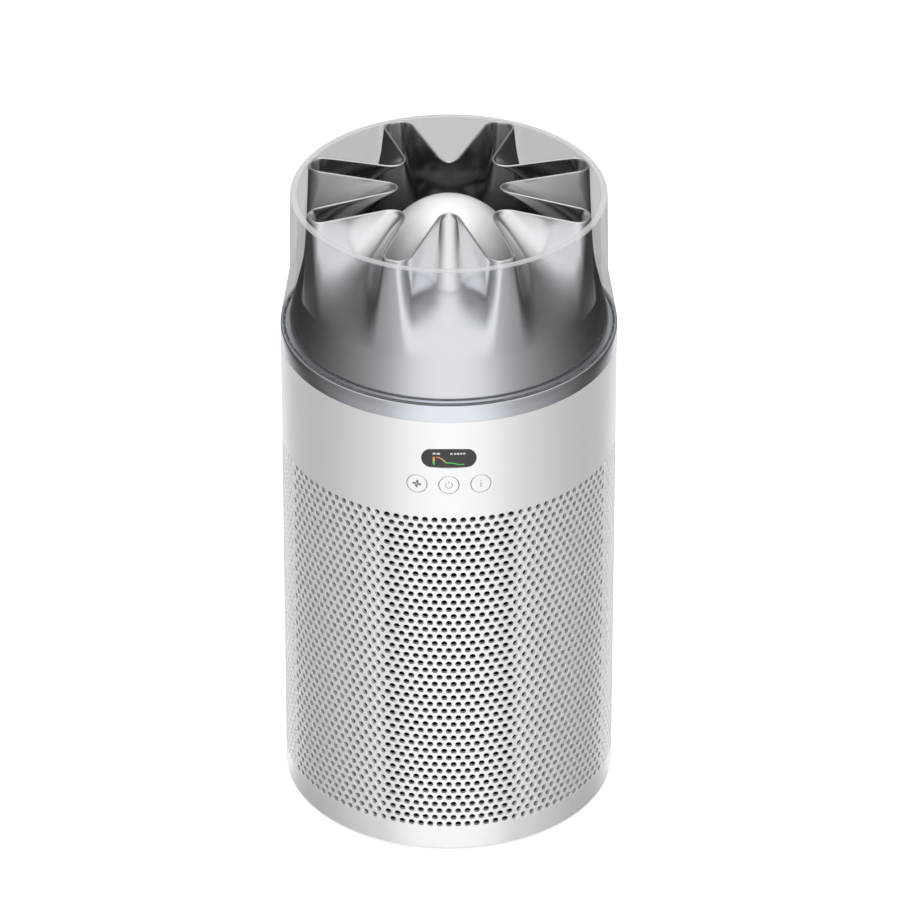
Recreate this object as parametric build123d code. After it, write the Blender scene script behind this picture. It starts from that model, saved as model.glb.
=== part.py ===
from build123d import *
import math
import os

os.makedirs("parts", exist_ok=True)

# Air purifier: a perforated cylinder with a filter and a fan inside, and a clear jacket
# round an eight-lobed air nozzle on top. Millimetres, +Z up, front is -Y, origin under the
# middle of the foot ring.

# Casing
body_radius = 115.0
sleeve_wall = 2.5
sleeve_height = 347.5
foot_height = 1.5
foot_inset = 2.3
foot_width = 7.0
ring_height = 12.6
spigot_depth = 4.0
slip = 0.2

# Grille: flat panels of holes, each drawn along the panel's own normal
panel_count = 8
holes_across = 3
hole_radius = 11.4
hole_sides = 6
grille_foot = 18.0
grille_drop = 75.4
panel_margin = 2.0

# Display and buttons in the band above the grille
display_width = 36.8
display_height = 14.8
display_drop = 28.3
display_recess = 0.2
module_margin = 2.6
button_radius = 6.7
button_pitch = 21.6
button_drop = 49.3
button_gap = 0.35
button_flange = 1.5
flange_clear = 0.5
flange_thickness = 1.2
button_travel = 1.0
stem_radius = 2.0
stem_length = 0.6
switch_side = 6.0
switch_body = 3.0
board_width = 68.0
board_height = 48.0
board_thickness = 1.6
bracket_thickness = 2.4
bracket_rail = 8.0
bracket_foot = 6.0

# Clear jacket
jacket_height = 99.6
jacket_wall = 5.0
jacket_inset = 0.6
jacket_heel = 3.4
flare_height = 34.0
flare_inset = 6.0
jacket_draft = 1.1
rim_round = 1.6
heel_round = 18.0
seal_thickness = 0.8
seal_recess = 1.0
seal_band = 1.6

# Lobed nozzle: folds that are deep at the top and run out to nothing at a crease above the skirt. Their
# depth grows steadily with height and also by a power of it, and their walls straighten near the top
nozzle_gap = 0.6
nozzle_flare = 24.5
nozzle_wall = 1.6
nozzle_rise = 1.0
tip_rise = 3.6
square_tip = 32.2
square_round = 5.5
square_angle = 19.5
diagonal_tip = 43.0
diagonal_round = 8.2
diagonal_angle = 25.5
lobe_round = 8.6
square_edge = 17.4
diagonal_edge = 18.0
fold_steady = 0.2
fold_swoop = 1.9
fold_sharpen = 4.0
fold_levels = 6
fold_samples = 5
fold_pairs = 4

# Bullet in the middle of the nozzle
bullet_radius = 52.0
bullet_nose = 60.0
bullet_tip = 44.0
bullet_wall = 2.0
bullet_drop = 8.0

# Fan bay
fan_bay = 80.0
deck_thickness = 3.0
eye_margin = 6.0
duct_room = 17.5
duct_wall = 2.0
flange_height = 2.0
bell_overhang = 5.0
bell_angle = 90.0
bell_height = 8.0
bell_flange = 12.0
bell_wall = 2.0
impeller_gap = 3.5
impeller_radius = 80.0
impeller_height = 34.0
impeller_eye_gap = 1.0
impeller_boss = 13.0
impeller_disc = 2.5
hub_bow_radius = 33.0
hub_bow_height = 23.0
blade_count = 9
blade_thickness = 2.2
blade_sweep = 52.0
blade_bend = 32.0
blade_inset = 1.0
blade_root = 18.0
shroud_drop = 18.0
vane_count = 11
vane_thickness = 1.8
vane_lean = 14.0
vane_bow = 4.0
vane_height = 26.0
hub_radius = 46.0
hub_wall = 2.0
hub_floor = 3.0
band_wall = 1.6

# Motor
shaft_radius = 3.0
shaft_clearance = 0.05
motor_radius = 36.0
motor_height = 36.0
motor_wall = 2.0
motor_floor = 5.0
bearing_radius = 8.0
bearing_width = 4.0
damper_height = 2.0
damper_width = 9.0
magnet_radius = 12.0
magnet_height = 18.0
air_gap = 0.6
stator_yoke = 4.0
tooth_count = 9
tooth_width = 4.0
tooth_tip = 2.0
stator_height = 16.0
coil_height = 21.0
coil_width = 2.2
coil_depth = 11.0

# Filter
filter_clear = 7.0
pleat_count = 44
pleat_depth = 20.0
pleat_paper = 2.4
media_inset = 2.5
carbon_gap = 2.1
carbon_wall = 4.0
cap_thickness = 4.0
cap_skirt = 8.0
cap_wall = 1.6
cap_lip = 2.0
seal_height = 4.0
seal_width = 8.0

# Base ring, twist cover and posts
base_height = 12.5
bore_margin = 2.0
ledge_height = 8.0
ledge_width = 3.6
lug_count = 3
lug_angle = 24.0
notch_spare = 4.0
lock_spare = 6.0
lug_clear = 0.4
cover_lift = 1.0
cover_floor = 3.0
cover_rim = 4.0
cover_gap = 0.5
cup_radius = 38.0
cup_wall = 2.0
cup_roof = 2.0
grip_width = 14.0
grip_height = 8.0
sleeve_ledge = 2.0
ledge_reach = 4.0
post_count = 4
post_radius = 4.0
post_clear = 0.5
post_angle = 45.0
screw_radius = 1.5
screw_length = 9.0
screw_head = 3.0
head_height = 2.0
screw_slip = 0.1

# Power inlet, lead, main board and sensor
inlet_width = 20.0
inlet_height = 12.0
inlet_depth = 12.0
inlet_floor = 2.0
inlet_set_back = 1.2
socket_width = 13.0
socket_height = 7.0
socket_depth = 9.0
pin_radius = 1.2
pin_pitch = 6.4
lead_radius = 2.2
lead_clear = 1.3
plug_height = 7.0
plug_width = 12.0
capacitor_radius = 4.0
capacitor_length = 18.0
choke_side = 15.0
choke_height = 6.5
sensor_width = 36.0
sensor_height = 26.0
sensor_depth = 9.0
sensor_port = 3.0

# Heights and radii that follow from the sizes above
sleeve_top = foot_height + sleeve_height
bore_radius = body_radius - sleeve_wall
grille_high = sleeve_top - grille_drop
grille_low = foot_height + grille_foot
band_foot = grille_high + panel_margin
panel_foot = grille_low - panel_margin
foot_outer = bore_radius - slip - foot_inset
post_circle = bore_radius - ledge_reach - post_clear - post_radius
lead_circle = bore_radius - lead_clear - lead_radius
duct_radius = bore_radius - duct_room
filter_radius = post_circle - post_radius - filter_clear
carbon_outer = filter_radius - media_inset - pleat_depth - pleat_paper - carbon_gap
deck_eye = carbon_outer - eye_margin
cap_eye = deck_eye - cap_lip
bell_throat = deck_eye - bell_overhang
impeller_eye = bell_throat - impeller_eye_gap
ring_top = sleeve_top + ring_height
jacket_foot = ring_top + seal_thickness
jacket_top = jacket_foot + jacket_height
nozzle_lip = jacket_top + nozzle_rise
nozzle_crease = jacket_foot + jacket_heel + nozzle_flare
deck_top = sleeve_top - fan_bay
deck_under = deck_top - deck_thickness
base_top = foot_height + base_height
display_z = sleeve_top - display_drop
button_z = sleeve_top - button_drop
flange_edge = button_pitch + button_radius + button_flange
button_flange_face = math.sqrt(bore_radius**2 - flange_edge**2) - flange_clear
button_back = button_flange_face - flange_thickness - stem_length
switch_top = button_back - button_travel - slip
board_face = switch_top - switch_body
module_face = math.sqrt(bore_radius**2 - (display_width / 2 + module_margin) ** 2) - slip
cover_radius = filter_radius + bore_margin
cover_under = foot_height + cover_lift
cover_top = base_top + sleeve_ledge
ledge_bore = cover_radius + cover_gap
lug_reach = ledge_bore + ledge_width - lug_clear
filter_foot = cover_top + lug_clear
media_foot = filter_foot + cap_thickness
filter_head = deck_under - seal_height
media_head = filter_head - cap_thickness
duct_top = sleeve_top - flange_height
hub_foot = sleeve_top - vane_height
motor_foot = hub_foot + hub_floor + damper_height
motor_top = motor_foot + motor_height
impeller_foot = deck_top + bell_height + impeller_gap
impeller_top = impeller_foot + impeller_height


def save(name, shape):
    export_step(shape, "parts/" + name + ".step")


def tube(outer, inner, low, high):
    return Pos(0, 0, low) * extrude(Circle(outer) - Circle(inner), high - low)


def rod(radius, low, high):
    return Pos(0, 0, low) * extrude(Circle(radius), high - low)


def block(width, depth, height, x, y, low):
    return Pos(x, y, low + height / 2) * Box(width, depth, height)


def turned(*outline):
    return revolve(Plane.XZ * make_face(Polyline(*outline, close=True)), Axis.Z)


def polar(radius, degrees):
    turn = math.radians(degrees)
    return (radius * math.cos(turn), radius * math.sin(turn))


def around(count, shape, start=0.0):
    return [Rot(0, 0, start + 360 * k / count) * shape for k in range(count)]


# A bar along +Y, towards the back, that starts at the given distance behind the middle plane
def bar(profile, x, z, front, back):
    return Pos(x, front, z) * (Rot(-90, 0, 0) * extrude(profile, back - front))


# Flat grid of one panel: rows alternate between the full count and one hole fewer
def panel_holes(panel):
    pitch = 2 * body_radius * math.sin(math.pi / panel_count) / (holes_across - 0.5)
    low = grille_low + hole_radius
    high = grille_high - hole_radius
    gaps = max(1, round((high - low) / (pitch * math.cos(math.pi / hole_sides))))
    reach = body_radius * (1 - math.cos(2 * math.pi / panel_count)) + 3 * sleeve_wall
    drill = Rot(-90, 0, 0) * extrude(RegularPolygon(hole_radius, hole_sides, rotation=180 / hole_sides), reach)
    holes = []
    for row in range(gaps + 1):
        count = holes_across - (row + panel) % 2
        for k in range(count):
            u = (k - (count - 1) / 2) * pitch
            z = low + (high - low) * row / gaps
            place = Rot(0, 0, 360 * panel / panel_count) * Pos(u, -body_radius - sleeve_wall, z)
            holes.append(place * drill)
    return holes


# Plain band of the sleeve above the grille, with the display window and the button holes
def make_control_band():
    pill = SlotOverall(display_width + 2 * slip, display_height + 2 * slip)
    cuts = [bar(pill, 0, display_z, -2 * body_radius, -module_face)]
    for x in (-button_pitch, 0, button_pitch):
        cuts.append(bar(Circle(button_radius + button_gap), x, button_z, -2 * body_radius, -board_face))
    return tube(body_radius, bore_radius, band_foot, sleeve_top) - cuts


# One flat panel's share of the grille; holes of the panels beside it reach over the joint
def make_panel(panel):
    half = 180 / panel_count
    reach = 2 * body_radius
    wedge = make_face(Polyline((0, 0), polar(reach, -90 - half), polar(reach, half - 90), close=True))
    sector = tube(body_radius, bore_radius, panel_foot, band_foot) & (
        Rot(0, 0, 360 * panel / panel_count) * Pos(0, 0, panel_foot) * extrude(wedge, band_foot - panel_foot)
    )
    return sector - [hole for k in (panel - 1, panel, panel + 1) for hole in panel_holes(k)]


# Plain foot of the sleeve below the grille, with the ledge that rests on the base ring
def make_sleeve_foot():
    foot = tube(body_radius, bore_radius, foot_height, panel_foot)
    ledge = tube(bore_radius, bore_radius - ledge_reach, base_top, base_top + sleeve_ledge)
    ledge -= block(inlet_width + 2 * slip, 4 * ledge_reach, sleeve_ledge, 0, bore_radius, base_top)
    return foot + ledge - inlet_pocket()


def inlet_pocket():
    low = foot_height + inlet_floor
    back = bore_radius - inlet_depth - slip
    depth = body_radius + sleeve_wall - back
    width = inlet_width + 2 * slip
    return block(width, depth, inlet_height + slip, 0, back + depth / 2, low)


def make_trim_ring():
    return turned(
        (duct_radius - duct_wall, sleeve_top),
        (bore_radius - slip - sleeve_wall, sleeve_top),
        (bore_radius - slip - sleeve_wall, sleeve_top - spigot_depth),
        (bore_radius - slip, sleeve_top - spigot_depth),
        (bore_radius - slip, sleeve_top),
        (body_radius, sleeve_top),
        (body_radius, ring_top),
        (nozzle_skirt() - nozzle_wall - slip, ring_top),
    )


def jacket_heel_radius():
    return body_radius - jacket_inset


def nozzle_skirt():
    return jacket_heel_radius() - jacket_wall - nozzle_gap


# Side line of the flared jacket, moved inward by an inset: heel, flare, crease, rim
def side_line(inset, low, high):
    heel = jacket_heel_radius() - inset
    crease = heel - flare_inset
    return [
        (heel, low),
        (heel, jacket_foot + jacket_heel),
        (crease, jacket_foot + jacket_heel + flare_height),
        (crease - jacket_draft, high),
    ]


def make_jacket():
    outside = side_line(0, jacket_foot, jacket_top)
    inside = side_line(jacket_wall, jacket_foot, jacket_top)
    face = Plane.XZ * make_face(Polyline(*outside, *reversed(inside), close=True))
    heels = [v for v in face.vertices() if abs(v.Z - outside[1][1]) < slip]
    face = fillet(heels, heel_round)
    rims = [v for v in face.vertices() if abs(v.Z - jacket_top) < slip]
    return revolve(fillet(rims, rim_round), Axis.Z)


# Outer radius of the nozzle's lobes and skirt at a height
def nozzle_rim(height):
    if height < nozzle_crease:
        flared = max(height - nozzle_crease + nozzle_flare, 0) / nozzle_flare
        return nozzle_skirt() - flare_inset * flared
    drafted = (height - nozzle_crease) / (nozzle_lip - nozzle_crease)
    return nozzle_skirt() - flare_inset - jacket_draft * drafted


# Half a fold's outline at the crown, in its own frame with x outward, as three runs of points: the
# round tip, the straight wall, and the lobe's rounded end up to the rim circle
def fold_runs(tip, roundness, angle, growth):
    lean = math.radians(angle)
    along = Vector(math.cos(lean), math.sin(lean), 0)
    away = Vector(-math.sin(lean), math.cos(lean), 0)
    corner = lobe_round - growth
    rim = nozzle_rim(nozzle_lip) - growth
    middle = Vector(tip + roundness, 0, 0)
    start = middle + away * (roundness + growth)
    base = start + away * corner
    reach = base.dot(along)
    run = math.sqrt(reach**2 - base.dot(base) + (rim - corner) ** 2) - reach
    hub = base + along * run
    shares = [k / fold_samples for k in range(fold_samples + 1)]

    def bend(centre, radius, begin, end):
        turns = [begin + (end - begin) * share for share in shares]
        return [centre + Vector(math.cos(turn), math.sin(turn), 0) * radius for turn in turns]

    return [
        bend(middle, roundness + growth, math.pi, math.pi / 2 + lean),
        [start + along * (run * share) for share in shares],
        bend(hub, corner, lean - math.pi / 2, math.atan2(hub.Y, hub.X)),
    ]


# A point of the crown's outline brought down to a height: it keeps its bearing, and its radius follows
# the fold's fall, from a rounded valley low down to the crown's own outline
def fold_place(point, height, tip, edge, growth):
    share = max((height - nozzle_crease) / (nozzle_lip + tip_rise - nozzle_crease), 0)
    sharp = share**fold_sharpen
    fall = fold_steady * share + (1 - fold_steady) * share**fold_swoop
    bearing = math.degrees(math.atan2(abs(point.Y), point.X))
    rounded = (nozzle_rim(nozzle_lip) - tip) * max(1 - (bearing / edge) ** 2, 0)
    outlined = nozzle_rim(nozzle_lip) - growth - point.length
    radius = nozzle_rim(height) - growth - fall * (sharp * outlined + (1 - sharp) * rounded)
    return point.normalized() * radius + Vector(0, 0, height)


# The nozzle's share from a square fold to the diagonal one beside it
def make_lobe():
    step = 180 / fold_pairs
    crown = nozzle_lip + tip_rise
    square = (square_tip, square_round, square_angle, square_edge)
    diagonal = (diagonal_tip, diagonal_round, diagonal_angle, diagonal_edge)

    def placed(tip, roundness, angle, edge, growth, height):
        runs = fold_runs(tip, roundness, angle, growth)
        return [[fold_place(point, height, tip, edge, growth) for point in run] for run in runs]

    def mirrored(runs):
        return [[Vector(p.X, -p.Y, p.Z) for p in reversed(run)] for run in reversed(runs)]

    def spun(runs):
        return [[p.rotate(Axis.Z, step) for p in run] for run in runs]

    # Sections reach past the middles of both folds, and are cut to the share at the end
    def section(growth, height):
        near = placed(*square, growth, height)
        far = placed(*diagonal, growth, height)
        beyond = spun(mirrored(far))
        beyond[0][0] = near[-1][-1]
        runs = mirrored(near[:1]) + near + beyond + spun(far[:1])
        back = Vector(*polar(-square_tip / 2, step / 2), height)
        edges = [Line(back, runs[0][0]), *[Spline(*run) for run in runs], Line(runs[-1][-1], back)]
        return make_face(Curve() + edges)

    def body(growth, low, top):
        levels = [nozzle_crease + (top - nozzle_crease) * k / fold_levels for k in range(fold_levels + 1)]
        skirt = [section(growth, height) for height in (low, nozzle_crease - nozzle_flare, nozzle_crease)]
        return loft(skirt, ruled=True) + loft([section(growth, height) for height in levels])

    outside = body(0, ring_top, crown + slip)
    inside = body(nozzle_wall, ring_top - nozzle_wall, crown + nozzle_wall)
    edge = 2 * nozzle_rim(nozzle_lip)
    trim = turned((0, 0), (edge, 0), (edge, crown - 2 * tip_rise), (0, crown))
    corners = [(0, 0), polar(edge, 0), polar(edge, step)]
    share = extrude(make_face(Polyline(*corners, close=True)), crown)
    return (outside - inside) & (trim & share)


# Two tangent arcs: a round nose on the axis, then a long flank that stands upright at the belly
def make_bullet():
    belly = jacket_top - bullet_drop - bullet_nose
    narrow = bullet_radius - bullet_tip
    raised = bullet_nose - bullet_tip
    shift = (raised**2 - narrow**2) / (2 * narrow)
    spread = narrow + shift

    def arcs(inset):
        flank = bullet_radius + shift - inset
        meet = (flank * shift / spread - shift, belly + flank * raised / spread)
        side = (bullet_radius - inset, belly)
        nose = (0, belly + bullet_nose - inset)
        return side, nose, [RadiusArc(side, meet, -flank), RadiusArc(meet, nose, inset - bullet_tip)]

    side, nose, outer = arcs(0)
    inner_side, inner_nose, inner = arcs(bullet_wall)
    low = (hub_radius, sleeve_top)
    inner_low = (hub_radius - bullet_wall, sleeve_top)
    ends = [Line(nose, inner_nose), Polyline(inner_side, inner_low, low, side)]
    return revolve(Plane.XZ * make_face(Curve() + outer + inner + ends), Axis.Z)


def make_seal():
    outer = jacket_heel_radius() - seal_recess
    return tube(outer, outer - seal_band, ring_top, jacket_foot)


def make_deck():
    deck = tube(bore_radius - slip, deck_eye, deck_under, deck_top)
    hole = Pos(post_circle, 0, 0) * rod(screw_radius + screw_slip, deck_under, deck_top)
    lead_hole = Pos(0, lead_circle, 0) * rod(lead_radius + slip, deck_under, deck_top)
    return deck - around(post_count, hole, post_angle) - lead_hole


def make_bellmouth():
    centre = (bell_throat + bell_flange, deck_top)
    curve = EllipticalCenterArc(centre, bell_flange, bell_height, bell_angle, arc_size=bell_angle)
    outer = EllipticalCenterArc(
        centre, bell_flange - bell_wall, bell_height - bell_wall, bell_angle, arc_size=bell_angle
    )
    ends = [
        Line((bell_throat, deck_top), (bell_throat + bell_wall, deck_top)),
        Line((bell_throat + bell_flange, deck_top + bell_height - bell_wall),
             (bell_throat + bell_flange, deck_top + bell_height)),
    ]
    lip = revolve(Plane.XZ * make_face(Curve() + [curve, outer, *ends]), Axis.Z)
    skirt_outer = bell_throat + bell_flange
    return lip + tube(skirt_outer, skirt_outer - bell_wall, deck_top, deck_top + bell_height)


def make_duct():
    return tube(duct_radius, duct_radius - duct_wall, deck_top, duct_top)


# Backward-swept blades between a flared hub and the open shroud line
def make_impeller():
    disc_low = impeller_top - impeller_disc
    hub_arc = Spline(
        (impeller_boss, impeller_foot),
        (hub_bow_radius, impeller_foot + hub_bow_height),
        (impeller_radius, disc_low),
    )
    bore = shaft_radius
    hub_rest = Polyline(
        (impeller_radius, disc_low), (impeller_radius, impeller_top),
        (bore, impeller_top), (bore, impeller_foot), (impeller_boss, impeller_foot),
    )
    hub = revolve(Plane.XZ * make_face(Curve() + [hub_arc, hub_rest]), Axis.Z)
    tip = impeller_radius - blade_inset
    zone = turned(
        (impeller_boss, impeller_foot), (impeller_eye, impeller_foot),
        (tip, impeller_foot + shroud_drop), (tip, impeller_top - impeller_disc / 2),
        (impeller_boss, impeller_top - impeller_disc / 2),
    )
    step = math.degrees(blade_thickness / impeller_radius)
    root_step = math.degrees(blade_thickness / blade_root)
    middle = (blade_root + impeller_radius) / 2
    middle_step = math.degrees(blade_thickness / middle)
    lines = [
        ThreePointArc(polar(blade_root, 0), polar(middle, blade_bend), polar(impeller_radius, blade_sweep)),
        Line(polar(impeller_radius, blade_sweep), polar(impeller_radius, blade_sweep + step)),
        ThreePointArc(
            polar(impeller_radius, blade_sweep + step),
            polar(middle, blade_bend + middle_step),
            polar(blade_root, root_step),
        ),
        Line(polar(blade_root, root_step), polar(blade_root, 0)),
    ]
    blade = Pos(0, 0, impeller_foot) * extrude(make_face(Curve() + lines), impeller_height) & zone
    return hub + around(blade_count, blade)


def make_shaft():
    top = motor_top - motor_floor / 2
    return rod(shaft_radius, impeller_foot, top)


# Leaning vanes between the motor hub and an outer band that hangs on the duct
def make_guide_vanes():
    inside = duct_radius - duct_wall - slip
    band = tube(inside, inside - band_wall, hub_foot, sleeve_top)
    collar = tube(duct_radius, inside - band_wall, duct_top, sleeve_top)
    hub = tube(hub_radius, hub_radius - hub_wall, hub_foot, sleeve_top)
    floor = tube(hub_radius, shaft_radius * 2, hub_foot, hub_foot + hub_floor)
    low = (0, hub_foot)
    high = (vane_lean, sleeve_top)
    bow = (vane_bow, (hub_foot + sleeve_top) / 2)
    lines = [
        ThreePointArc(low, bow, high),
        Line(high, (high[0] + vane_thickness, high[1])),
        ThreePointArc((high[0] + vane_thickness, high[1]), (bow[0] + vane_thickness, bow[1]),
                      (low[0] + vane_thickness, low[1])),
        Line((low[0] + vane_thickness, low[1]), low),
    ]
    ring = tube(inside - band_wall / 2, hub_radius - hub_wall / 2, hub_foot, sleeve_top)
    vane = extrude(Plane.XZ * make_face(Curve() + lines), 2 * duct_radius) & ring
    return band + collar + hub + floor + around(vane_count, vane)


def make_motor_housing():
    seat = bearing_radius
    inner = motor_radius - motor_wall
    bore = shaft_radius * 2
    lower = motor_foot + motor_floor
    upper = motor_top - motor_floor
    can = turned(
        (bore, motor_foot), (motor_radius, motor_foot), (motor_radius, motor_top), (0, motor_top),
        (0, motor_top - motor_floor + bearing_width), (seat, motor_top - motor_floor + bearing_width),
        (seat, upper), (inner, upper), (inner, lower), (seat, lower),
        (seat, lower - bearing_width), (bore, lower - bearing_width),
    )
    return can


def make_bearings():
    lower = motor_foot + motor_floor
    upper = motor_top - motor_floor
    bore = shaft_radius + shaft_clearance
    return [
        tube(bearing_radius, bore, lower - bearing_width, lower),
        tube(bearing_radius, bore, upper, upper + bearing_width),
    ]


def motor_middle():
    return motor_foot + motor_height / 2


def make_stator():
    inner = magnet_radius + air_gap
    outer = motor_radius - motor_wall
    low = motor_middle() - stator_height / 2
    high = low + stator_height
    yoke = tube(outer, outer - stator_yoke, low, high)
    tips = tube(inner + tooth_tip, inner, low, high)
    reach = outer - stator_yoke / 2 - inner - tooth_tip / 2
    tooth = block(reach, tooth_width, stator_height, inner + tooth_tip / 2 + reach / 2, 0, low)
    slit = block(tooth_tip * 3, tooth_tip, stator_height, inner + tooth_tip / 2, 0, low)
    return yoke + around(tooth_count, tooth) + (tips - around(tooth_count, slit, 180 / tooth_count))


def make_coils():
    low = motor_middle() - coil_height / 2
    inner = magnet_radius + air_gap + tooth_tip + slip
    width = tooth_width + 2 * coil_width
    x = inner + coil_depth / 2
    lap = (coil_height - stator_height) / 2
    coil = block(coil_depth, width, coil_height, x, 0, low)
    coil -= block(coil_depth, tooth_width, stator_height, x, 0, low + lap)
    return around(tooth_count, coil)


def make_magnet():
    low = motor_middle() - magnet_height / 2
    return tube(magnet_radius, shaft_radius, low, low + magnet_height)


def star(outer, depth, count):
    points = []
    for k in range(count):
        points.append(polar(outer, 360 * k / count))
        points.append(polar(outer - depth, 360 * (k + 0.5) / count))
    return make_face(Polyline(*points, close=True))


def make_media():
    outer = filter_radius - media_inset
    paper = star(outer, pleat_depth, pleat_count) - star(outer - pleat_paper, pleat_depth, pleat_count)
    return Pos(0, 0, media_foot) * extrude(paper, media_head - media_foot)


def make_top_cap():
    inner = filter_radius - cap_wall
    return turned(
        (cap_eye, filter_head), (cap_eye, media_head), (inner, media_head), (inner, media_head - cap_skirt),
        (filter_radius, media_head - cap_skirt), (filter_radius, filter_head),
    )


def make_bottom_cap():
    inner = filter_radius - cap_wall
    return turned(
        (0, filter_foot), (filter_radius, filter_foot), (filter_radius, media_foot + cap_skirt),
        (inner, media_foot + cap_skirt), (inner, media_foot), (0, media_foot),
    )


def make_base_ring():
    upper_bore = ledge_bore + ledge_width
    ring = tube(bore_radius - slip, upper_bore, foot_height, base_top)
    ledge = tube(upper_bore, ledge_bore, foot_height, foot_height + ledge_height)
    opening = lug_sector(upper_bore, lug_angle + notch_spare, foot_height, base_top)
    ring = ring + (ledge - around(lug_count, opening, lug_swing()))
    hole = Pos(post_circle, 0, 0) * rod(screw_radius + screw_slip, foot_height, base_top)
    sink = Pos(post_circle, 0, 0) * rod(screw_head + screw_slip, foot_height, foot_height + head_height)
    return ring - around(post_count, hole, post_angle) - around(post_count, sink, post_angle) - inlet_pocket()


# Turn of the cover between locked and free to drop out
def lug_swing():
    return lug_angle + lock_spare


def lug_sector(outer, angle, low, high):
    half = angle / 2
    wide = outer / math.cos(math.radians(half))
    wedge = make_face(Polyline((0, 0), polar(wide, -half), polar(wide, half), close=True))
    return (Pos(0, 0, low) * extrude(wedge, high - low)) & rod(outer, low, high)


def make_cover():
    rim = tube(cover_radius, cover_radius - cover_rim, cover_under, cover_top)
    floor = tube(cover_radius, cup_radius, cover_under, cover_under + cover_floor)
    cup = tube(cup_radius + cup_wall, cup_radius, cover_under, cover_top)
    roof = rod(cup_radius + cup_wall, cover_top - cup_roof, cover_top)
    grip = block(grip_width, 2 * cup_radius, grip_height, 0, 0, cover_under) & rod(
        cup_radius + cup_wall / 2, cover_under, cover_top)
    lug_low = foot_height + ledge_height + lug_clear
    lug = lug_sector(lug_reach, lug_angle, lug_low, cover_top) - rod(cover_radius - cover_rim / 2, lug_low, cover_top)
    return rim + floor + cup + roof + grip + around(lug_count, lug)


def make_posts():
    post = rod(post_radius, base_top, deck_under)
    tap = screw_length
    post -= rod(screw_radius + screw_slip, base_top, base_top + tap)
    post -= rod(screw_radius + screw_slip, deck_under - tap, deck_under)
    return around(post_count, Pos(post_circle, 0, 0) * post, post_angle)


def make_deck_screws():
    shank = rod(screw_radius, deck_top - screw_length, deck_top)
    head = rod(screw_head, deck_top, deck_top + head_height)
    return around(post_count, Pos(post_circle, 0, 0) * (shank + head), post_angle)


def make_base_screws():
    seat = foot_height + head_height
    low = seat - head_height
    shank = rod(screw_radius, seat, base_top + screw_length - screw_radius)
    head = rod(screw_head, low, seat)
    return around(post_count, Pos(post_circle, 0, 0) * (shank + head), post_angle)


def make_foot_ring():
    return tube(foot_outer, foot_outer - foot_width, 0, foot_height)


def skin(radius):
    return rod(radius, 0, jacket_top)


def make_button(x):
    cap = bar(Circle(button_radius), x, button_z, -2 * body_radius, -button_flange_face) & skin(body_radius)
    flange = bar(
        Circle(button_radius + button_flange), x, button_z,
        -button_flange_face, -button_flange_face + flange_thickness,
    )
    stem = bar(Circle(stem_radius), x, button_z, -button_flange_face, -button_back)
    return cap + flange + stem


def make_lens():
    pill = bar(SlotOverall(display_width, display_height), 0, display_z, -2 * body_radius, -module_face)
    return pill & skin(body_radius - display_recess)


def make_display_module():
    width = display_width + 2 * module_margin
    height = display_height + 2 * module_margin
    depth = module_face - board_face
    return block(width, depth, height, 0, -board_face - depth / 2, display_z - height / 2)


def board_foot():
    return (display_z + button_z) / 2 - board_height / 2


def make_control_board():
    y = -board_face + board_thickness / 2
    return block(board_width, board_thickness, board_height, 0, y, board_foot())


# Upright frame that stands on the deck and carries a board
def make_bracket():
    y = -board_face + board_thickness + bracket_thickness / 2
    height = board_foot() + board_height - deck_top
    frame = block(board_width, bracket_thickness, height, 0, y, deck_top)
    window = height - 2 * bracket_rail
    frame -= block(board_width - 2 * bracket_rail, bracket_thickness, window, 0, y, deck_top + bracket_rail)
    toe = -board_face + board_thickness - bracket_foot / 2
    return frame + block(board_width, bracket_foot, bracket_thickness, 0, toe, deck_top)


def make_switches():
    y = -board_face - switch_body / 2
    side = switch_side
    return [
        block(side, switch_body, side, x, y, button_z - side / 2)
        for x in (-button_pitch, 0, button_pitch)
    ]


def make_main_board():
    face = board_face
    low = board_foot()
    board = block(board_width, board_thickness, board_height, 0, face - board_thickness / 2, low)
    plug = block(plug_width, lead_circle + lead_radius - face, plug_height, 0,
                 (face + lead_circle + lead_radius) / 2, low)
    can = bar(Circle(capacitor_radius), 0, 0, 0, capacitor_length)
    can = Pos(-board_width / 4, face + capacitor_radius - slip, low + plug_height) * (Rot(90, 0, 0) * can)
    choke = block(choke_side, choke_height, choke_side, board_width / 4, face + choke_height / 2,
                  low + plug_height)
    return board + plug + can + choke


def make_sensor():
    x = -math.sqrt((bore_radius - slip) ** 2 - (sensor_width / 2) ** 2) + sensor_depth / 2
    case = block(sensor_depth, sensor_width, sensor_height, x, 0, deck_top)
    port = Pos(x, 0, deck_top + sensor_height / 2) * (Rot(0, 90, 0) * Cylinder(sensor_port, sensor_depth / 2))
    return case - Pos(-sensor_depth / 2, 0, 0) * port


def inlet_face():
    return body_radius - inlet_set_back


def make_inlet():
    low = foot_height + inlet_floor
    back = bore_radius - inlet_depth
    body = block(inlet_width, inlet_face() - back, inlet_height, 0, (inlet_face() + back) / 2, low)
    socket = bar(SlotOverall(socket_width, socket_height), 0, low + inlet_height / 2,
                 inlet_face() - socket_depth, inlet_face())
    return body - socket


def make_inlet_pins():
    z = foot_height + inlet_floor + inlet_height / 2
    start = inlet_face() - socket_depth
    return [bar(Circle(pin_radius), x, z, start, inlet_face() - inlet_set_back)
            for x in (-pin_pitch / 2, pin_pitch / 2)]


def make_lead():
    low = foot_height + inlet_floor + inlet_height
    return Pos(0, lead_circle, 0) * rod(lead_radius, low, board_foot())


def group(solids):
    return Compound(children=list(solids))


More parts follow.
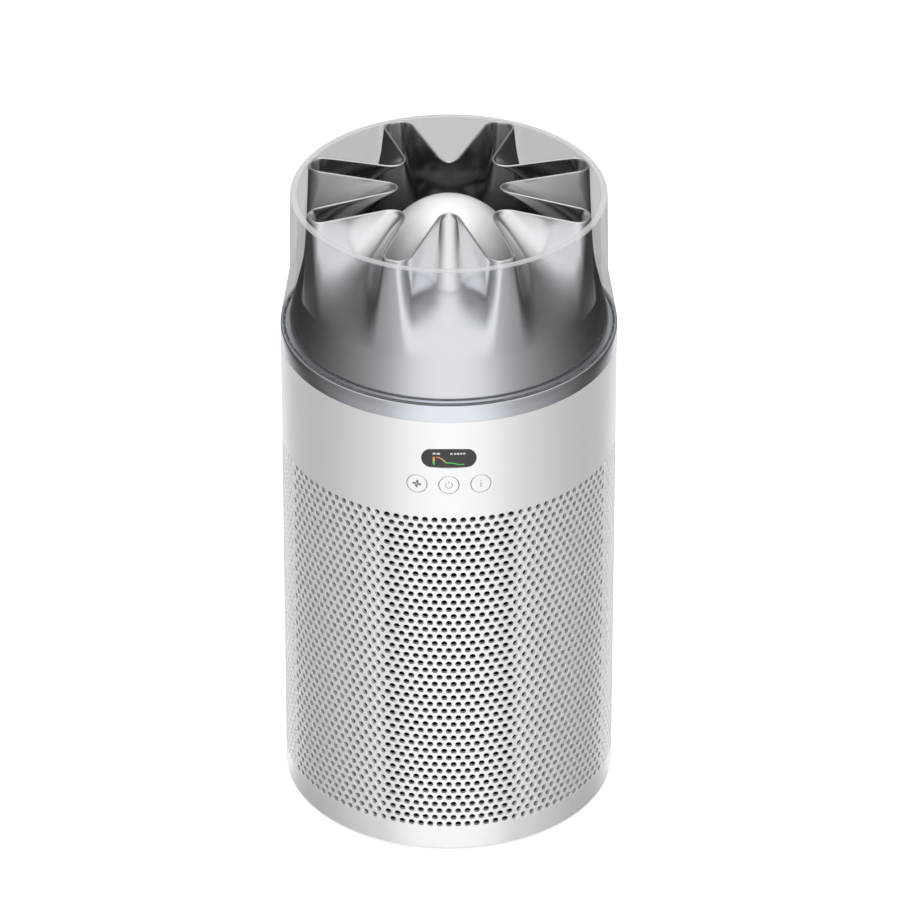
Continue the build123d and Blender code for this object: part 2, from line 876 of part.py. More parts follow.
save("control_band", make_control_band())
for panel in range(panel_count):
    save("grille_panel_" + str(panel + 1), make_panel(panel))
save("sleeve_foot", make_sleeve_foot())
save("trim_ring", make_trim_ring())
save("nozzle_jacket", make_jacket())
lobe = make_lobe()
for pair in range(fold_pairs):
    turn = 360 / fold_pairs
    save("nozzle_lobe_" + str(2 * pair + 1), Rot(0, 0, turn * pair) * lobe)
    save("nozzle_lobe_" + str(2 * pair + 2), Rot(0, 0, turn * (pair + 1)) * mirror(lobe, about=Plane.XZ))
save("centre_bullet", make_bullet())
save("jacket_seal", make_seal())
save("fan_deck", make_deck())
save("inlet_bellmouth", make_bellmouth())
save("fan_duct", make_duct())
save("impeller", make_impeller())
save("motor_shaft", make_shaft())
save("rotor_magnet", make_magnet())
save("guide_vanes", make_guide_vanes())
save("motor_damper", tube(motor_radius, motor_radius - damper_width, hub_foot + hub_floor, motor_foot))
save("motor_housing", make_motor_housing())
save("motor_bearings", group(make_bearings()))
save("motor_stator", make_stator())
save("stator_coils", group(make_coils()))
save("filter_media", make_media())
save("carbon_layer", tube(carbon_outer, carbon_outer - carbon_wall, media_foot, media_head))
save("filter_top_cap", make_top_cap())
save("filter_bottom_cap", make_bottom_cap())
save("filter_seal", tube(carbon_outer + seal_width, carbon_outer, filter_head, deck_under))
save("base_ring", make_base_ring())
save("base_cover", make_cover())
save("foot_ring", make_foot_ring())
save("chassis_posts", group(make_posts()))
save("deck_screws", group(make_deck_screws()))
save("base_screws", group(make_base_screws()))
save("fan_speed_button", make_button(-button_pitch))
save("power_button", make_button(0))
save("info_button", make_button(button_pitch))
save("display_lens", make_lens())
save("display_module", make_display_module())
save("control_board", make_control_board())
save("control_bracket", make_bracket())
save("button_switches", group(make_switches()))
save("main_board", make_main_board())
save("board_bracket", Rot(0, 0, 180) * make_bracket())
save("air_quality_sensor", make_sensor())
save("power_inlet", make_inlet())
save("inlet_pins", group(make_inlet_pins()))
save("supply_lead", make_lead())
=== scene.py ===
import bpy
import math
import numpy as np
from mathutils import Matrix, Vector


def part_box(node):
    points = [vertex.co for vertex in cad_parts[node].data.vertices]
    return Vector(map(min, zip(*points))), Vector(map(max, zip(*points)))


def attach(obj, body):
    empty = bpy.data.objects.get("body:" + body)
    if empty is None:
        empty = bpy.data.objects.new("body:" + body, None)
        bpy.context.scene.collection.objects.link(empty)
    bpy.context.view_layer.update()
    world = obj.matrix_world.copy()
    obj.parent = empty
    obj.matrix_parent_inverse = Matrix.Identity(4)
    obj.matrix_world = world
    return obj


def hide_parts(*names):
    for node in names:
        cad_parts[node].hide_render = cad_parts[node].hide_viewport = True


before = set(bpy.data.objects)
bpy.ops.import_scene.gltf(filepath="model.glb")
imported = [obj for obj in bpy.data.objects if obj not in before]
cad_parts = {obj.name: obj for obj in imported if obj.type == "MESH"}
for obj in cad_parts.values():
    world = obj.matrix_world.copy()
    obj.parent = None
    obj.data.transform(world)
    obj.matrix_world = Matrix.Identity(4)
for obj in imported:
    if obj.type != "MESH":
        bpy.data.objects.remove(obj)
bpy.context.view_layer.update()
mm = 0.001
shell = {  # main sizes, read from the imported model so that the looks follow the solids
    "radius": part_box("control_band")[1].x,
    "foot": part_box("sleeve_foot")[0].z,
    "top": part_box("control_band")[1].z,
    "wall": 2.5 * mm,
}
print("frame loaded:", len(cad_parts), "nodes,", round(shell["radius"] * 2, 4), "m across")


class Wire:
    # one socket of a material; sums and products of wires and numbers add Math nodes
    def __init__(self, paint, socket):
        self.paint, self.socket = paint, socket

    def __add__(self, other):
        return self.paint.math("ADD", self, other)

    def __radd__(self, other):
        return self.paint.math("ADD", other, self)

    def __sub__(self, other):
        return self.paint.math("SUBTRACT", self, other)

    def __rsub__(self, other):
        return self.paint.math("SUBTRACT", other, self)

    def __mul__(self, other):
        return self.paint.math("MULTIPLY", self, other)

    def __rmul__(self, other):
        return self.paint.math("MULTIPLY", other, self)

    def __truediv__(self, other):
        return self.paint.math("DIVIDE", self, other)

    def __rtruediv__(self, other):
        return self.paint.math("DIVIDE", other, self)


class Paint:
    # a node material, with the Principled shader ready
    def __init__(self, name, tree=None):
        if tree is None:
            self.material = bpy.data.materials.new(name)
            self.material.use_nodes = True
            tree = self.material.node_tree
        self.tree = tree
        self.shader = tree.nodes.get("Principled BSDF")

    def plug(self, socket, value):
        # a wire is linked, a number or colour is set on the socket itself
        if isinstance(value, Wire):
            self.tree.links.new(value.socket, socket)
        else:
            socket.default_value = value

    def node(self, kind, settings=None, values=None, out=0):
        # any node: its settings first, then the values or wires of its sockets
        made = self.tree.nodes.new("ShaderNode" + kind)
        for key, value in (settings or {}).items():
            if key == "stops":
                ramp = made.color_ramp.elements
                while len(ramp) < len(value):
                    ramp.new(1.0)
                for stop, (place, colour) in zip(ramp, value):
                    stop.position, stop.color = place, colour
            else:
                setattr(made, key, value)
        for key, value in (values or {}).items():
            self.plug(made.inputs[key], value)
        return Wire(self, made.outputs[out])

    def math(self, operation, *values):
        # one sum, product or other function of numbers and wires
        return self.node("Math", {"operation": operation}, dict(enumerate(values)))

    def place(self):
        # the point in the object's own frame
        return self.node("TexCoord", out="Object")

    def axes(self):
        # its x, y and z as three wires
        split = self.node("SeparateXYZ", {}, {0: self.place()}).socket.node
        return [Wire(self, split.outputs[k]) for k in range(3)]

    def noise(self, scale, detail=2.0, rough=0.5, stretch=(1, 1, 1)):
        # clouds of that many waves in a metre, more of them along a stretched axis
        spot = self.node("Mapping", {}, {"Vector": self.place(), "Scale": stretch})
        return self.node("TexNoise", {}, {"Vector": spot, "Scale": scale, "Detail": detail, "Roughness": rough})

    def mix(self, factor, low, high):
        # colour low where the factor is 0, high where it is 1
        return self.node("Mix", {"data_type": "RGBA"}, {0: factor, 6: low, 7: high}, out=2)

    def bump(self, height, distance, strength=1.0):
        # a normal tilted as if the surface rose by the height times the distance
        return self.node("Bump", {}, {"Height": height, "Distance": distance, "Strength": strength})

    def smooth(self, value, low, high):
        # an eased passage from 0 at low to 1 at high
        return self.node("MapRange", {"interpolation_type": "SMOOTHSTEP"},
                         {"Value": value, "From Min": low, "From Max": high})

    def set(self, values):
        # values or wires of the Principled shader's sockets
        for key, value in values.items():
            self.plug(self.shader.inputs[key], value)


def tone(red, green, blue):
    # an opaque colour
    return (red, green, blue, 1.0)


def grey(value):
    # the same share of red, green and blue
    return tone(value, value, value)


weld = 2e-8  # corners nearer than this are one
slack = 1e-6  # angles nearer than this are the same


def putMesh(name, points, quads, finish, body, slotName, replaced=(), sharp=38):
    # corners that meet are merged, a four-sided face with a doubled corner becomes three-sided
    points = np.asarray(points, float).reshape(-1, 3)
    quads = np.asarray(quads).reshape(-1, 4)
    cells = np.round(points / weld).astype(np.int64)
    _, first, back = np.unique(cells, axis=0, return_index=True, return_inverse=True)
    quads = back.reshape(-1)[quads]
    same = quads == np.roll(quads, -1, axis=1)
    doubled = same.sum(1) + (quads[:, 0] == quads[:, 2]) * 2 + (quads[:, 1] == quads[:, 3]) * 2
    whole = quads[doubled == 0]
    three = quads[doubled == 1][~same[doubled == 1]].reshape(-1, 3)
    corners = np.concatenate([whole.ravel(), three.ravel()]).astype(np.int32)
    sizes = np.concatenate([np.full(len(whole), 4), np.full(len(three), 3)])
    starts = (np.cumsum(sizes) - sizes).astype(np.int32)
    mesh = bpy.data.meshes.new(name)
    mesh.vertices.add(len(first))
    mesh.vertices.foreach_set("co", points[first].astype(np.float32).ravel())
    mesh.loops.add(len(corners))
    mesh.loops.foreach_set("vertex_index", corners)
    mesh.polygons.add(len(sizes))
    mesh.polygons.foreach_set("loop_start", starts)
    mesh.polygons.foreach_set("use_smooth", np.ones(len(sizes), bool))
    mesh.update(calc_edges=True)
    mesh.validate()
    mesh.set_sharp_from_angle(angle=math.radians(sharp))
    piece = bpy.data.objects.new(name, mesh)
    bpy.context.scene.collection.objects.link(piece)
    mesh.materials.append(finish.material)
    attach(piece, body)
    if replaced:
        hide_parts(*replaced)
    return piece


def gridQuads(rows, columns, wrapRows=False, wrapColumns=False):
    # faces of a grid whose points are listed row by row
    row = np.arange(rows if wrapRows else rows - 1)[:, None]
    column = np.arange(columns if wrapColumns else columns - 1)[None, :]
    nextRow, nextColumn = (row + 1) % rows, (column + 1) % columns
    faces = [row * columns + column, row * columns + nextColumn,
             nextRow * columns + nextColumn, nextRow * columns + column]
    return np.stack(np.broadcast_arrays(*faces), -1).reshape(-1, 4)


def joined(*parts):
    # several (points, faces) lists as one
    points, faces, count = [], [], 0
    for spots, quads in parts:
        spots = np.asarray(spots, float).reshape(-1, 3)
        points.append(spots)
        faces.append(np.asarray(quads).reshape(-1, 4) + count)
        count += len(spots)
    return np.concatenate(points), np.concatenate(faces)


nearStraight = 1.569  # half the angle of a corner that needs no arc


def softOutline(corners, steps=7):
    # closed outline in the radius-height plane, each corner (r, z, round) replaced by an arc of that radius
    spots = np.array([c[:2] for c in corners], float)
    ends = []
    for k, (_, _, bend) in enumerate(corners):
        here = spots[k]
        back, ahead = spots[k - 1] - here, spots[(k + 1) % len(spots)] - here
        u, v = back / np.hypot(*back), ahead / np.hypot(*ahead)
        half = math.acos(np.clip(u @ v, -1, 1)) / 2
        if bend <= 0 or half > nearStraight:
            ends.append(here[None, :])
            continue
        side = u + v
        centre = here + side / np.hypot(*side) * bend / math.sin(half)
        start = here + u * bend / math.tan(half) - centre
        stop = here + v * bend / math.tan(half) - centre
        t = np.linspace(0, 1, steps)[:, None]
        turn = math.pi - 2 * half
        ends.append(centre + (np.sin((1 - t) * turn) * start + np.sin(t * turn) * stop) / math.sin(turn))
    return np.concatenate(ends)


def turnedSurface(outline, steps=256):
    # point = (r cos a, r sin a, z): the closed outline carried once round the axis
    a = np.linspace(0, 2 * math.pi, steps, endpoint=False)
    r, z = outline[:, :1], outline[:, 1:]
    points = np.stack([r * np.cos(a), r * np.sin(a), z + 0 * a], -1)
    return points, gridQuads(len(outline), steps, wrapRows=True, wrapColumns=True)


def atAngle(angle, z, radius):
    # a point at a turn from the front, on the upright cylinder of that radius
    return np.stack(np.broadcast_arrays(radius * np.sin(angle), -radius * np.cos(angle), z), -1)


def onShell(u, z, radius, centre=0.0):
    # a point u to the right of a panel's middle line, on the upright cylinder of that radius
    return atAngle(np.arcsin(u / radius) + centre, z, radius)


grainLook = {
    "slow": 9.0, "slowShare": 0.6, "fineShare": 0.4, "roughLow": 0.88, "roughSwing": 0.24, "bump": 0.35,
}


def speckled(name, colour, rough, metal=0.0, grain=0.0, drift=0.05, speck=2600.0):
    # fine moulding grain: tiny specks move the roughness and the normal, a slow noise shades the colour
    paint = Paint(name)
    fine = paint.noise(speck, 3.0)
    slow = paint.noise(grainLook["slow"], 2.0)
    pale = [min(1.0, c * (1 + drift)) for c in colour]
    deep = [c * (1 - drift) for c in colour]
    shade = slow * grainLook["slowShare"] + fine * grainLook["fineShare"]
    paint.set({
        "Base Color": paint.mix(shade, tone(*deep), tone(*pale)),
        "Roughness": rough * (grainLook["roughLow"] + fine * grainLook["roughSwing"]),
        "Metallic": metal,
    })
    if grain:
        paint.set({"Normal": paint.bump(fine, grain, grainLook["bump"])})
    return paint


satin = {"colour": (0.92, 0.92, 0.925), "metal": 0.58, "grain": 0.02 * mm, "drift": 0.015}
sleeveFinish = speckled("satinSilverWhite", rough=0.32, **satin)
buttonFinish = speckled("satinButton", rough=0.31, **satin)
ringFinish = speckled("glossySilver", (0.80, 0.83, 0.87), 0.17, metal=1.0, drift=0.01)
nozzleFinish = speckled("nozzleSilver", (0.84, 0.85, 0.865), 0.2, metal=1.0, drift=0.015)
bulletFinish = speckled("bulletSatin", (0.93, 0.93, 0.935), 0.34, metal=0.45, grain=0.015 * mm, drift=0.01)
rubberFinish = speckled("blackRubber", (0.035, 0.035, 0.037), 0.72, grain=0.05 * mm, drift=0.2, speck=1800.0)
sealFinish = speckled("greySeal", (0.14, 0.142, 0.146), 0.5, grain=0.03 * mm, drift=0.08, speck=1800.0)
darkFinish = speckled("darkMoulding", (0.055, 0.056, 0.06), 0.55, grain=0.05 * mm, drift=0.15, speck=1500.0)
paleFinish = speckled("paleMoulding", (0.58, 0.58, 0.59), 0.5, grain=0.04 * mm, speck=1500.0)
blackFinish = speckled("blackMoulding", (0.022, 0.022, 0.024), 0.32, grain=0.03 * mm, drift=0.2, speck=1900.0)
canFinish = speckled("castMotorCan", (0.55, 0.55, 0.56), 0.42, metal=1.0, grain=0.06 * mm, drift=0.06, speck=900.0)
magnetFinish = speckled("sinteredMagnet", (0.12, 0.12, 0.125), 0.5, metal=0.7, grain=0.04 * mm, drift=0.15,
                        speck=1400.0)


def follow(paint, pattern, low, high, rough, swing, metal=0.0, relief=0.0):
    # colour, roughness and relief all follow one pattern that runs from 0 to 1
    paint.set({
        "Base Color": paint.mix(pattern, tone(*low), tone(*high)),
        "Roughness": rough + pattern * swing,
        "Metallic": metal,
    })
    if relief:
        paint.set({"Normal": paint.bump(pattern, relief)})
    return paint


def groundSteel():
    # turned metal: fine rings along the height
    paint = Paint("groundSteel")
    rings = paint.noise(700.0, 2.0, 0.5, (0.1, 0.1, 3.0))
    return follow(paint, rings, (0.42, 0.42, 0.43), (0.6, 0.6, 0.61), rough=0.24, swing=0.2, metal=1.0,
                  relief=0.02 * mm)


def layered(name, pitch, **look):
    # level layers: the height, folded to and fro over one pitch
    paint = Paint(name)
    _, _, z = paint.axes()
    return follow(paint, paint.math("PINGPONG", z, pitch) / pitch, **look)


def stackedSheet():
    # laminations: thin sheets stacked along the height
    return layered("stackedSheet", 0.25 * mm, low=(0.10, 0.10, 0.105), high=(0.3, 0.3, 0.31), rough=0.4, swing=0.15,
                   metal=0.9, relief=0.05 * mm)


def woundCopper():
    # enamelled wire laid in level rows
    return layered("woundCopper", 0.3 * mm, low=(0.22, 0.08, 0.03), high=(0.62, 0.28, 0.12), rough=0.3, swing=0.1,
                   metal=0.85, relief=0.15 * mm)


def pleatedPaper():
    # felted fibre: long fine hairs over a slow mottle
    paint = Paint("pleatedPaper")
    hair = paint.noise(1400.0, 4.0, 0.7, (1, 1, 0.35))
    mottle = paint.noise(60.0, 3.0)
    paint.set({
        "Base Color": paint.mix(hair * 0.7 + mottle * 0.3, tone(0.018, 0.018, 0.02), tone(0.05, 0.05, 0.055)),
        "Roughness": 0.85 + hair * 0.1,
        "Normal": paint.bump(hair, 0.12 * mm),
    })
    return paint


def carbonGrains():
    # packed granules
    paint = Paint("carbonGrains")
    grains = paint.node("TexVoronoi", {}, {"Vector": paint.place(), "Scale": 700.0}, out="Distance")
    paint.set({
        "Base Color": paint.mix(grains, tone(0.05, 0.05, 0.05), tone(0.008, 0.008, 0.008)),
        "Roughness": 0.6 + grains * 0.3,
        "Normal": paint.bump(1 - grains, 0.4 * mm),
    })
    return paint


def solderMask():
    # green board with copper tracks that shine through the mask
    paint = Paint("solderMask")
    tracks = paint.node("TexBrick", {"offset": 0.5}, {
        "Vector": paint.node("Mapping", {}, {"Vector": paint.place(), "Rotation": (math.radians(90), 0, 0)}),
        "Scale": 160.0, "Mortar Size": 0.02, "Mortar Smooth": 0.2}, out="Fac")
    mottle = paint.noise(300.0, 2.0)
    paint.set({
        "Base Color": paint.mix(tracks * 0.7 + mottle * 0.2, tone(0.006, 0.055, 0.024), tone(0.03, 0.16, 0.06)),
        "Roughness": 0.32 + mottle * 0.1,
        "Normal": paint.bump(tracks, 0.04 * mm),
    })
    return paint


def pinBrass():
    # drawn metal: long fine streaks from front to back
    paint = Paint("pinBrass")
    drawn = paint.noise(900.0, 2.0, 0.5, (2.0, 0.1, 2.0))
    return follow(paint, drawn, (0.5, 0.36, 0.12), (0.72, 0.56, 0.24), rough=0.22, swing=0.15, metal=1.0)


def clearPlastic(top):
    # thick clear moulding: mostly see-through, its gloss follows the Fresnel share; its rounded rim, less than the rim
    # depth under the top, is painted as a pale grey band, a painted highlight in place of the light that the rim bends
    look = {"gloss": 0.12, "bend": 1.49, "paintedRimDepth": 1.5 * mm, "paintedRimFade": 0.5 * mm, "rim": 0.6}
    paint = Paint("clearPlastic")
    flow = paint.noise(14.0, 1.0)
    _, _, z = paint.axes()
    # painted highlight: mask of the pale grey rim band, fading in just under the top
    rim = paint.smooth(z, top - look["paintedRimDepth"], top - look["paintedRimDepth"] + look["paintedRimFade"])
    paint.set({
        "Base Color": paint.mix(flow, tone(0.46, 0.47, 0.48), tone(0.50, 0.51, 0.52)),
        "Roughness": 0.12 + flow * 0.04,
        "IOR": look["bend"],
    })
    share = paint.node("Fresnel", {}, {"IOR": look["bend"]})
    clear = paint.node("BsdfTransparent", {}, {"Color": tone(0.968, 0.972, 0.976)})
    gloss = paint.node("BsdfGlossy", {}, {"Color": tone(0.97, 0.98, 1.0), "Roughness": 0.03 + flow * 0.02})
    wall = paint.node("MixShader", {}, {0: share * look["gloss"], 1: clear, 2: gloss})
    # the painted rim highlight: the pale grey Principled band laid over the clear wall
    both = paint.node("MixShader", {}, {0: rim * look["rim"], 1: wall, 2: Wire(paint, paint.shader.outputs[0])})
    paint.tree.links.new(both.socket, paint.tree.nodes["Material Output"].inputs["Surface"])
    return paint


def darkLens():
    # smoked window over the display, a hard coat on near-black
    paint = Paint("darkLens")
    smear = paint.noise(120.0, 2.0)
    paint.set({"Coat Weight": 0.5, "Coat Roughness": 0.03})
    return follow(paint, smear, (0.008, 0.008, 0.009), (0.016, 0.016, 0.018), rough=0.08, swing=0.06)


def lit(name, stops, low, high, strength=0.9):
    # display light: the colour goes along the height from low to high
    paint = Paint(name)
    _, _, z = paint.axes()
    share = (z - low) / (high - low)
    colour = paint.node("ValToRGB", {"stops": stops}, {0: share})
    paint.set({"Base Color": tone(0.02, 0.02, 0.02), "Roughness": 0.3,
               "Emission Color": colour, "Emission Strength": strength})
    return paint


def printedGrey():
    # pad print: slightly uneven ink
    paint = Paint("printedGrey")
    ink = paint.noise(2200.0, 2.0)
    return follow(paint, ink, (0.16, 0.16, 0.165), (0.24, 0.24, 0.245), rough=0.5, swing=0.1)


steelFinish, sheetFinish, copperFinish = groundSteel(), stackedSheet(), woundCopper()
paperFinish, carbonFinish, boardFinish = pleatedPaper(), carbonGrains(), solderMask()
brassFinish, lensFinish, inkFinish = pinBrass(), darkLens(), printedGrey()
clearFinish = clearPlastic(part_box("nozzle_jacket")[1].z)
finishNodes = (
    (sleeveFinish, ["control_band", "sleeve_foot"] + ["grille_panel_%d" % k for k in range(1, 9)]),
    (nozzleFinish, ["nozzle_lobe_%d" % k for k in range(1, 9)]),
    (ringFinish, ["trim_ring"]),
    (clearFinish, ["nozzle_jacket"]),
    (bulletFinish, ["centre_bullet"]),
    (sealFinish, ["jacket_seal"]),
    (darkFinish, ["fan_deck", "inlet_bellmouth", "fan_duct", "guide_vanes", "filter_top_cap", "filter_bottom_cap",
                  "base_ring", "base_cover", "control_bracket", "board_bracket"]),
    (paleFinish, ["impeller"]),
    (steelFinish, ["motor_shaft", "motor_bearings", "deck_screws", "base_screws"]),
    (magnetFinish, ["rotor_magnet"]),
    (rubberFinish, ["motor_damper", "filter_seal", "foot_ring", "supply_lead"]),
    (canFinish, ["motor_housing", "chassis_posts"]),
    (sheetFinish, ["motor_stator"]),
    (copperFinish, ["stator_coils"]),
    (paperFinish, ["filter_media"]),
    (carbonFinish, ["carbon_layer"]),
    (buttonFinish, ["fan_speed_button", "power_button", "info_button"]),
    (lensFinish, ["display_lens"]),
    (blackFinish, ["display_module", "button_switches", "air_quality_sensor", "power_inlet"]),
    (boardFinish, ["control_board", "main_board"]),
    (brassFinish, ["inlet_pins"]),
)
nodeFinish = {name: finish for finish, names in finishNodes for name in names}
for name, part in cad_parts.items():
    part.data.materials.clear()
    part.data.materials.append(nodeFinish[name].material)
print("finishes ready:", len(bpy.data.materials))


grille = {
    "panels": 8, "rows": 46, "across": 14, "pitch": 6.464 * mm, "rowPitch": 5.5556 * mm, "topRow": 271.5 * mm,
    "hole": 2.05 * mm, "chamfer": 0.28 * mm, "around": 16, "sector": 2, "lastPlain": 6.25, "snaps": (6.9, 6.6, 6.4),
}
holeSpread = grille["pitch"] / shell["radius"]
panelTurn = 2 * math.pi / grille["panels"]


def edgeAngle(k):
    # angle of a cell edge k pitches from the panel's middle; the last ones are set so that panels meet
    k = np.asarray(k, float)
    plain = np.arcsin(np.clip(k * holeSpread, -0.999, 0.999))
    half = panelTurn / 2
    quarter = (half - np.arcsin(grille["lastPlain"] * holeSpread)) / 2
    past = [np.abs(k) > snap for snap in grille["snaps"]]
    snapped = np.select(past, [half + quarter, half, half - quarter], np.abs(plain))
    return np.sign(k) * snapped


def cellEdge(sideways, upwards):
    # share of the cell size at each point of its rim, counter-clockwise seen from outside
    h = np.arange(sideways) / sideways - 0.5
    v = np.arange(upwards) / upwards - 0.5
    low, high = np.full(sideways, -0.5), np.full(upwards, 0.5)
    across = np.concatenate([h, high, -h, -high])
    up = np.concatenate([low, v, -low, -v])
    return across, up


def grilleSector(first):
    # every cell of a few panels: rings from the cell's rim over the chamfer, through the wall and back out to the rim
    radius, inner = shell["radius"], shell["radius"] - shell["wall"]
    across, up = cellEdge(4, 4)
    turn = np.radians(-135) + np.arange(grille["around"]) * 2 * math.pi / grille["around"]
    parts = []
    ring = gridQuads(5, grille["around"], wrapColumns=True)
    for panel in range(first, first + grille["sector"]):
        for odd in (0, 1):
            count = grille["across"] - odd
            rows = np.arange(grille["rows"])[(np.arange(grille["rows"]) + panel) % 2 == odd]
            k = np.tile(np.arange(count) - (count - 1) / 2, len(rows))[:, None]
            z = np.repeat(grille["topRow"] - rows * grille["rowPitch"], count)[:, None]
            edge = edgeAngle(k + across) + panel * panelTurn
            rim = z + up * grille["rowPitch"]
            size, chamfer = grille["hole"], grille["chamfer"]
            holes = [onShell(k * grille["pitch"] + wide * np.cos(turn), z + wide * np.sin(turn), at, panel * panelTurn)
                     for wide, at in ((size + chamfer, radius), (size, radius - chamfer), (size, inner))]
            cell = np.stack([atAngle(edge, rim, radius), *holes, atAngle(edge, rim, inner)], 1)
            shift = np.arange(len(k))[:, None, None] * 5 * grille["around"]
            parts.append((cell, ring[None] + shift))
    return joined(*parts)


def rimAngles(row):
    # cell-edge angles along the whole rim of a row, in order round the sleeve
    found = []
    for panel in range(grille["panels"]):
        count = grille["across"] - (row + panel) % 2
        k = np.arange(-count / 2, count / 2 - 0.1, 0.25)
        found.append(edgeAngle(k) + panel * panelTurn)
    return np.concatenate(found)


band = {
    "cells": (288.4 * mm, 310.9 * mm, 332.0 * mm), "halfAcross": 6.0, "steps": 10, "edge": 0.6 * mm,
    "buttonHole": 7.05 * mm, "buttonPitch": 21.6 * mm, "buttonHeight": 299.7 * mm, "soft": 0.3 * mm,
    "roll": 0.3, "hold": 0.5 * mm, "spread": (0.3, 0.6, 0.85, 1.0), "pillEase": 0.72,
    "pillWidth": 37.2 * mm, "pillHeight": 15.2 * mm, "pillCentre": 320.7 * mm,
}


def windowCell(kLow, kHigh, zLow, zHigh, outline):
    # ring patch between a rectangular cell of the band and the outline cut in it, right through the wall
    radius, inner = shell["radius"], shell["radius"] - shell["wall"]
    sideways = int(round((kHigh - kLow) * 4))
    across, up = cellEdge(sideways, band["steps"])
    k = (kLow + kHigh) / 2 + across * (kHigh - kLow)
    z = (zLow + zHigh) / 2 + up * (zHigh - zLow)
    edge = edgeAngle(k)
    u, cutZ, outU, outZ = outline(radius * np.sin(edge), z)
    soft, hold, roll = band["soft"], band["hold"], band["soft"] * band["roll"]
    # steps from the cell's rim to just outside the cut keep the shade of the plain wall even
    spread = [onShell((1 - t) * radius * np.sin(edge) + t * (u + outU * hold),
                      (1 - t) * z + t * (cutZ + outZ * hold), radius) for t in band["spread"]]
    rings = np.stack([
        atAngle(edge, z, radius), *spread,
        onShell(u + outU * soft, cutZ + outZ * soft, radius),
        onShell(u + outU * roll, cutZ + outZ * roll, radius - roll),
        onShell(u, cutZ, radius - soft),
        onShell(u, cutZ, inner),
        atAngle(edge, z, inner),
    ])
    return rings, gridQuads(len(rings), rings.shape[1], wrapColumns=True)


def roundCut(centre):
    def outline(u, z):
        # the point of a button's circle in the same direction from its middle, and that direction
        turn = np.arctan2(z - band["buttonHeight"], u - centre)
        size = band["buttonHole"]
        return centre + size * np.cos(turn), band["buttonHeight"] + size * np.sin(turn), np.cos(turn), np.sin(turn)
    return outline


def pillCut(u, z):
    # nearest point of the pill: its middle line is a straight run with half circles at its ends
    size = band["pillHeight"] / 2
    run = band["pillWidth"] / 2 - size
    spine = np.clip(u * band["pillEase"], -run, run)
    turn = np.arctan2(z - band["pillCentre"], u - spine)
    return spine + size * np.cos(turn), band["pillCentre"] + size * np.sin(turn), np.cos(turn), np.sin(turn)


def bandAbove():
    # an outline carried round the sleeve, with a rectangle left out that the window and button cells fill
    radius, inner, top, edge = shell["radius"], shell["radius"] - shell["wall"], shell["top"], band["edge"]
    low = grille["topRow"] + grille["rowPitch"] / 2
    z0, z1, z2 = band["cells"]
    steps = band["steps"]
    levels = np.concatenate([[low], z0 + (z1 - z0) * np.arange(steps) / steps,
                             z1 + (z2 - z1) * np.arange(steps + 1) / steps])
    lip = softOutline([(radius, top - 2 * edge, 0), (radius, top, edge),
                       (inner, top, edge / 2), (inner, top - 2 * edge, 0)])
    outline = np.concatenate([np.stack([np.full(len(levels), radius), levels], 1), lip,
                              np.stack([np.full(len(levels), inner), levels[::-1]], 1)])
    angles = rimAngles(0)
    points = atAngle(angles[None, :], outline[:, 1:], outline[:, :1])
    faces = gridQuads(len(outline), len(angles), wrapColumns=True).reshape(len(outline) - 1, len(angles), 4)
    keep = np.ones(faces.shape[:2], bool)
    limit = edgeAngle(band["halfAcross"])
    left = ((angles + math.pi) % (2 * math.pi)) - math.pi
    opened = (left > -limit - slack) & (left < limit - slack)
    count = len(levels)
    keep[1:count - 1, opened] = False
    keep[len(outline) - count:len(outline) - 2, opened] = False
    half, pitch = band["halfAcross"], 2 * band["halfAcross"] / 3
    cells = [windowCell(-half + pitch * n, -half + pitch * (n + 1), z0, z1,
                        roundCut((n - 1) * band["buttonPitch"])) for n in range(3)]
    cells.append(windowCell(-half, half, z1, z2, pillCut))
    return joined((points, faces[keep]), *cells)


footBand = {"edge": 0.5 * mm, "cutLow": 3.5 * mm, "cutHigh": 15.7 * mm, "cutHalf": 10.2 * mm, "snap": 1.5}


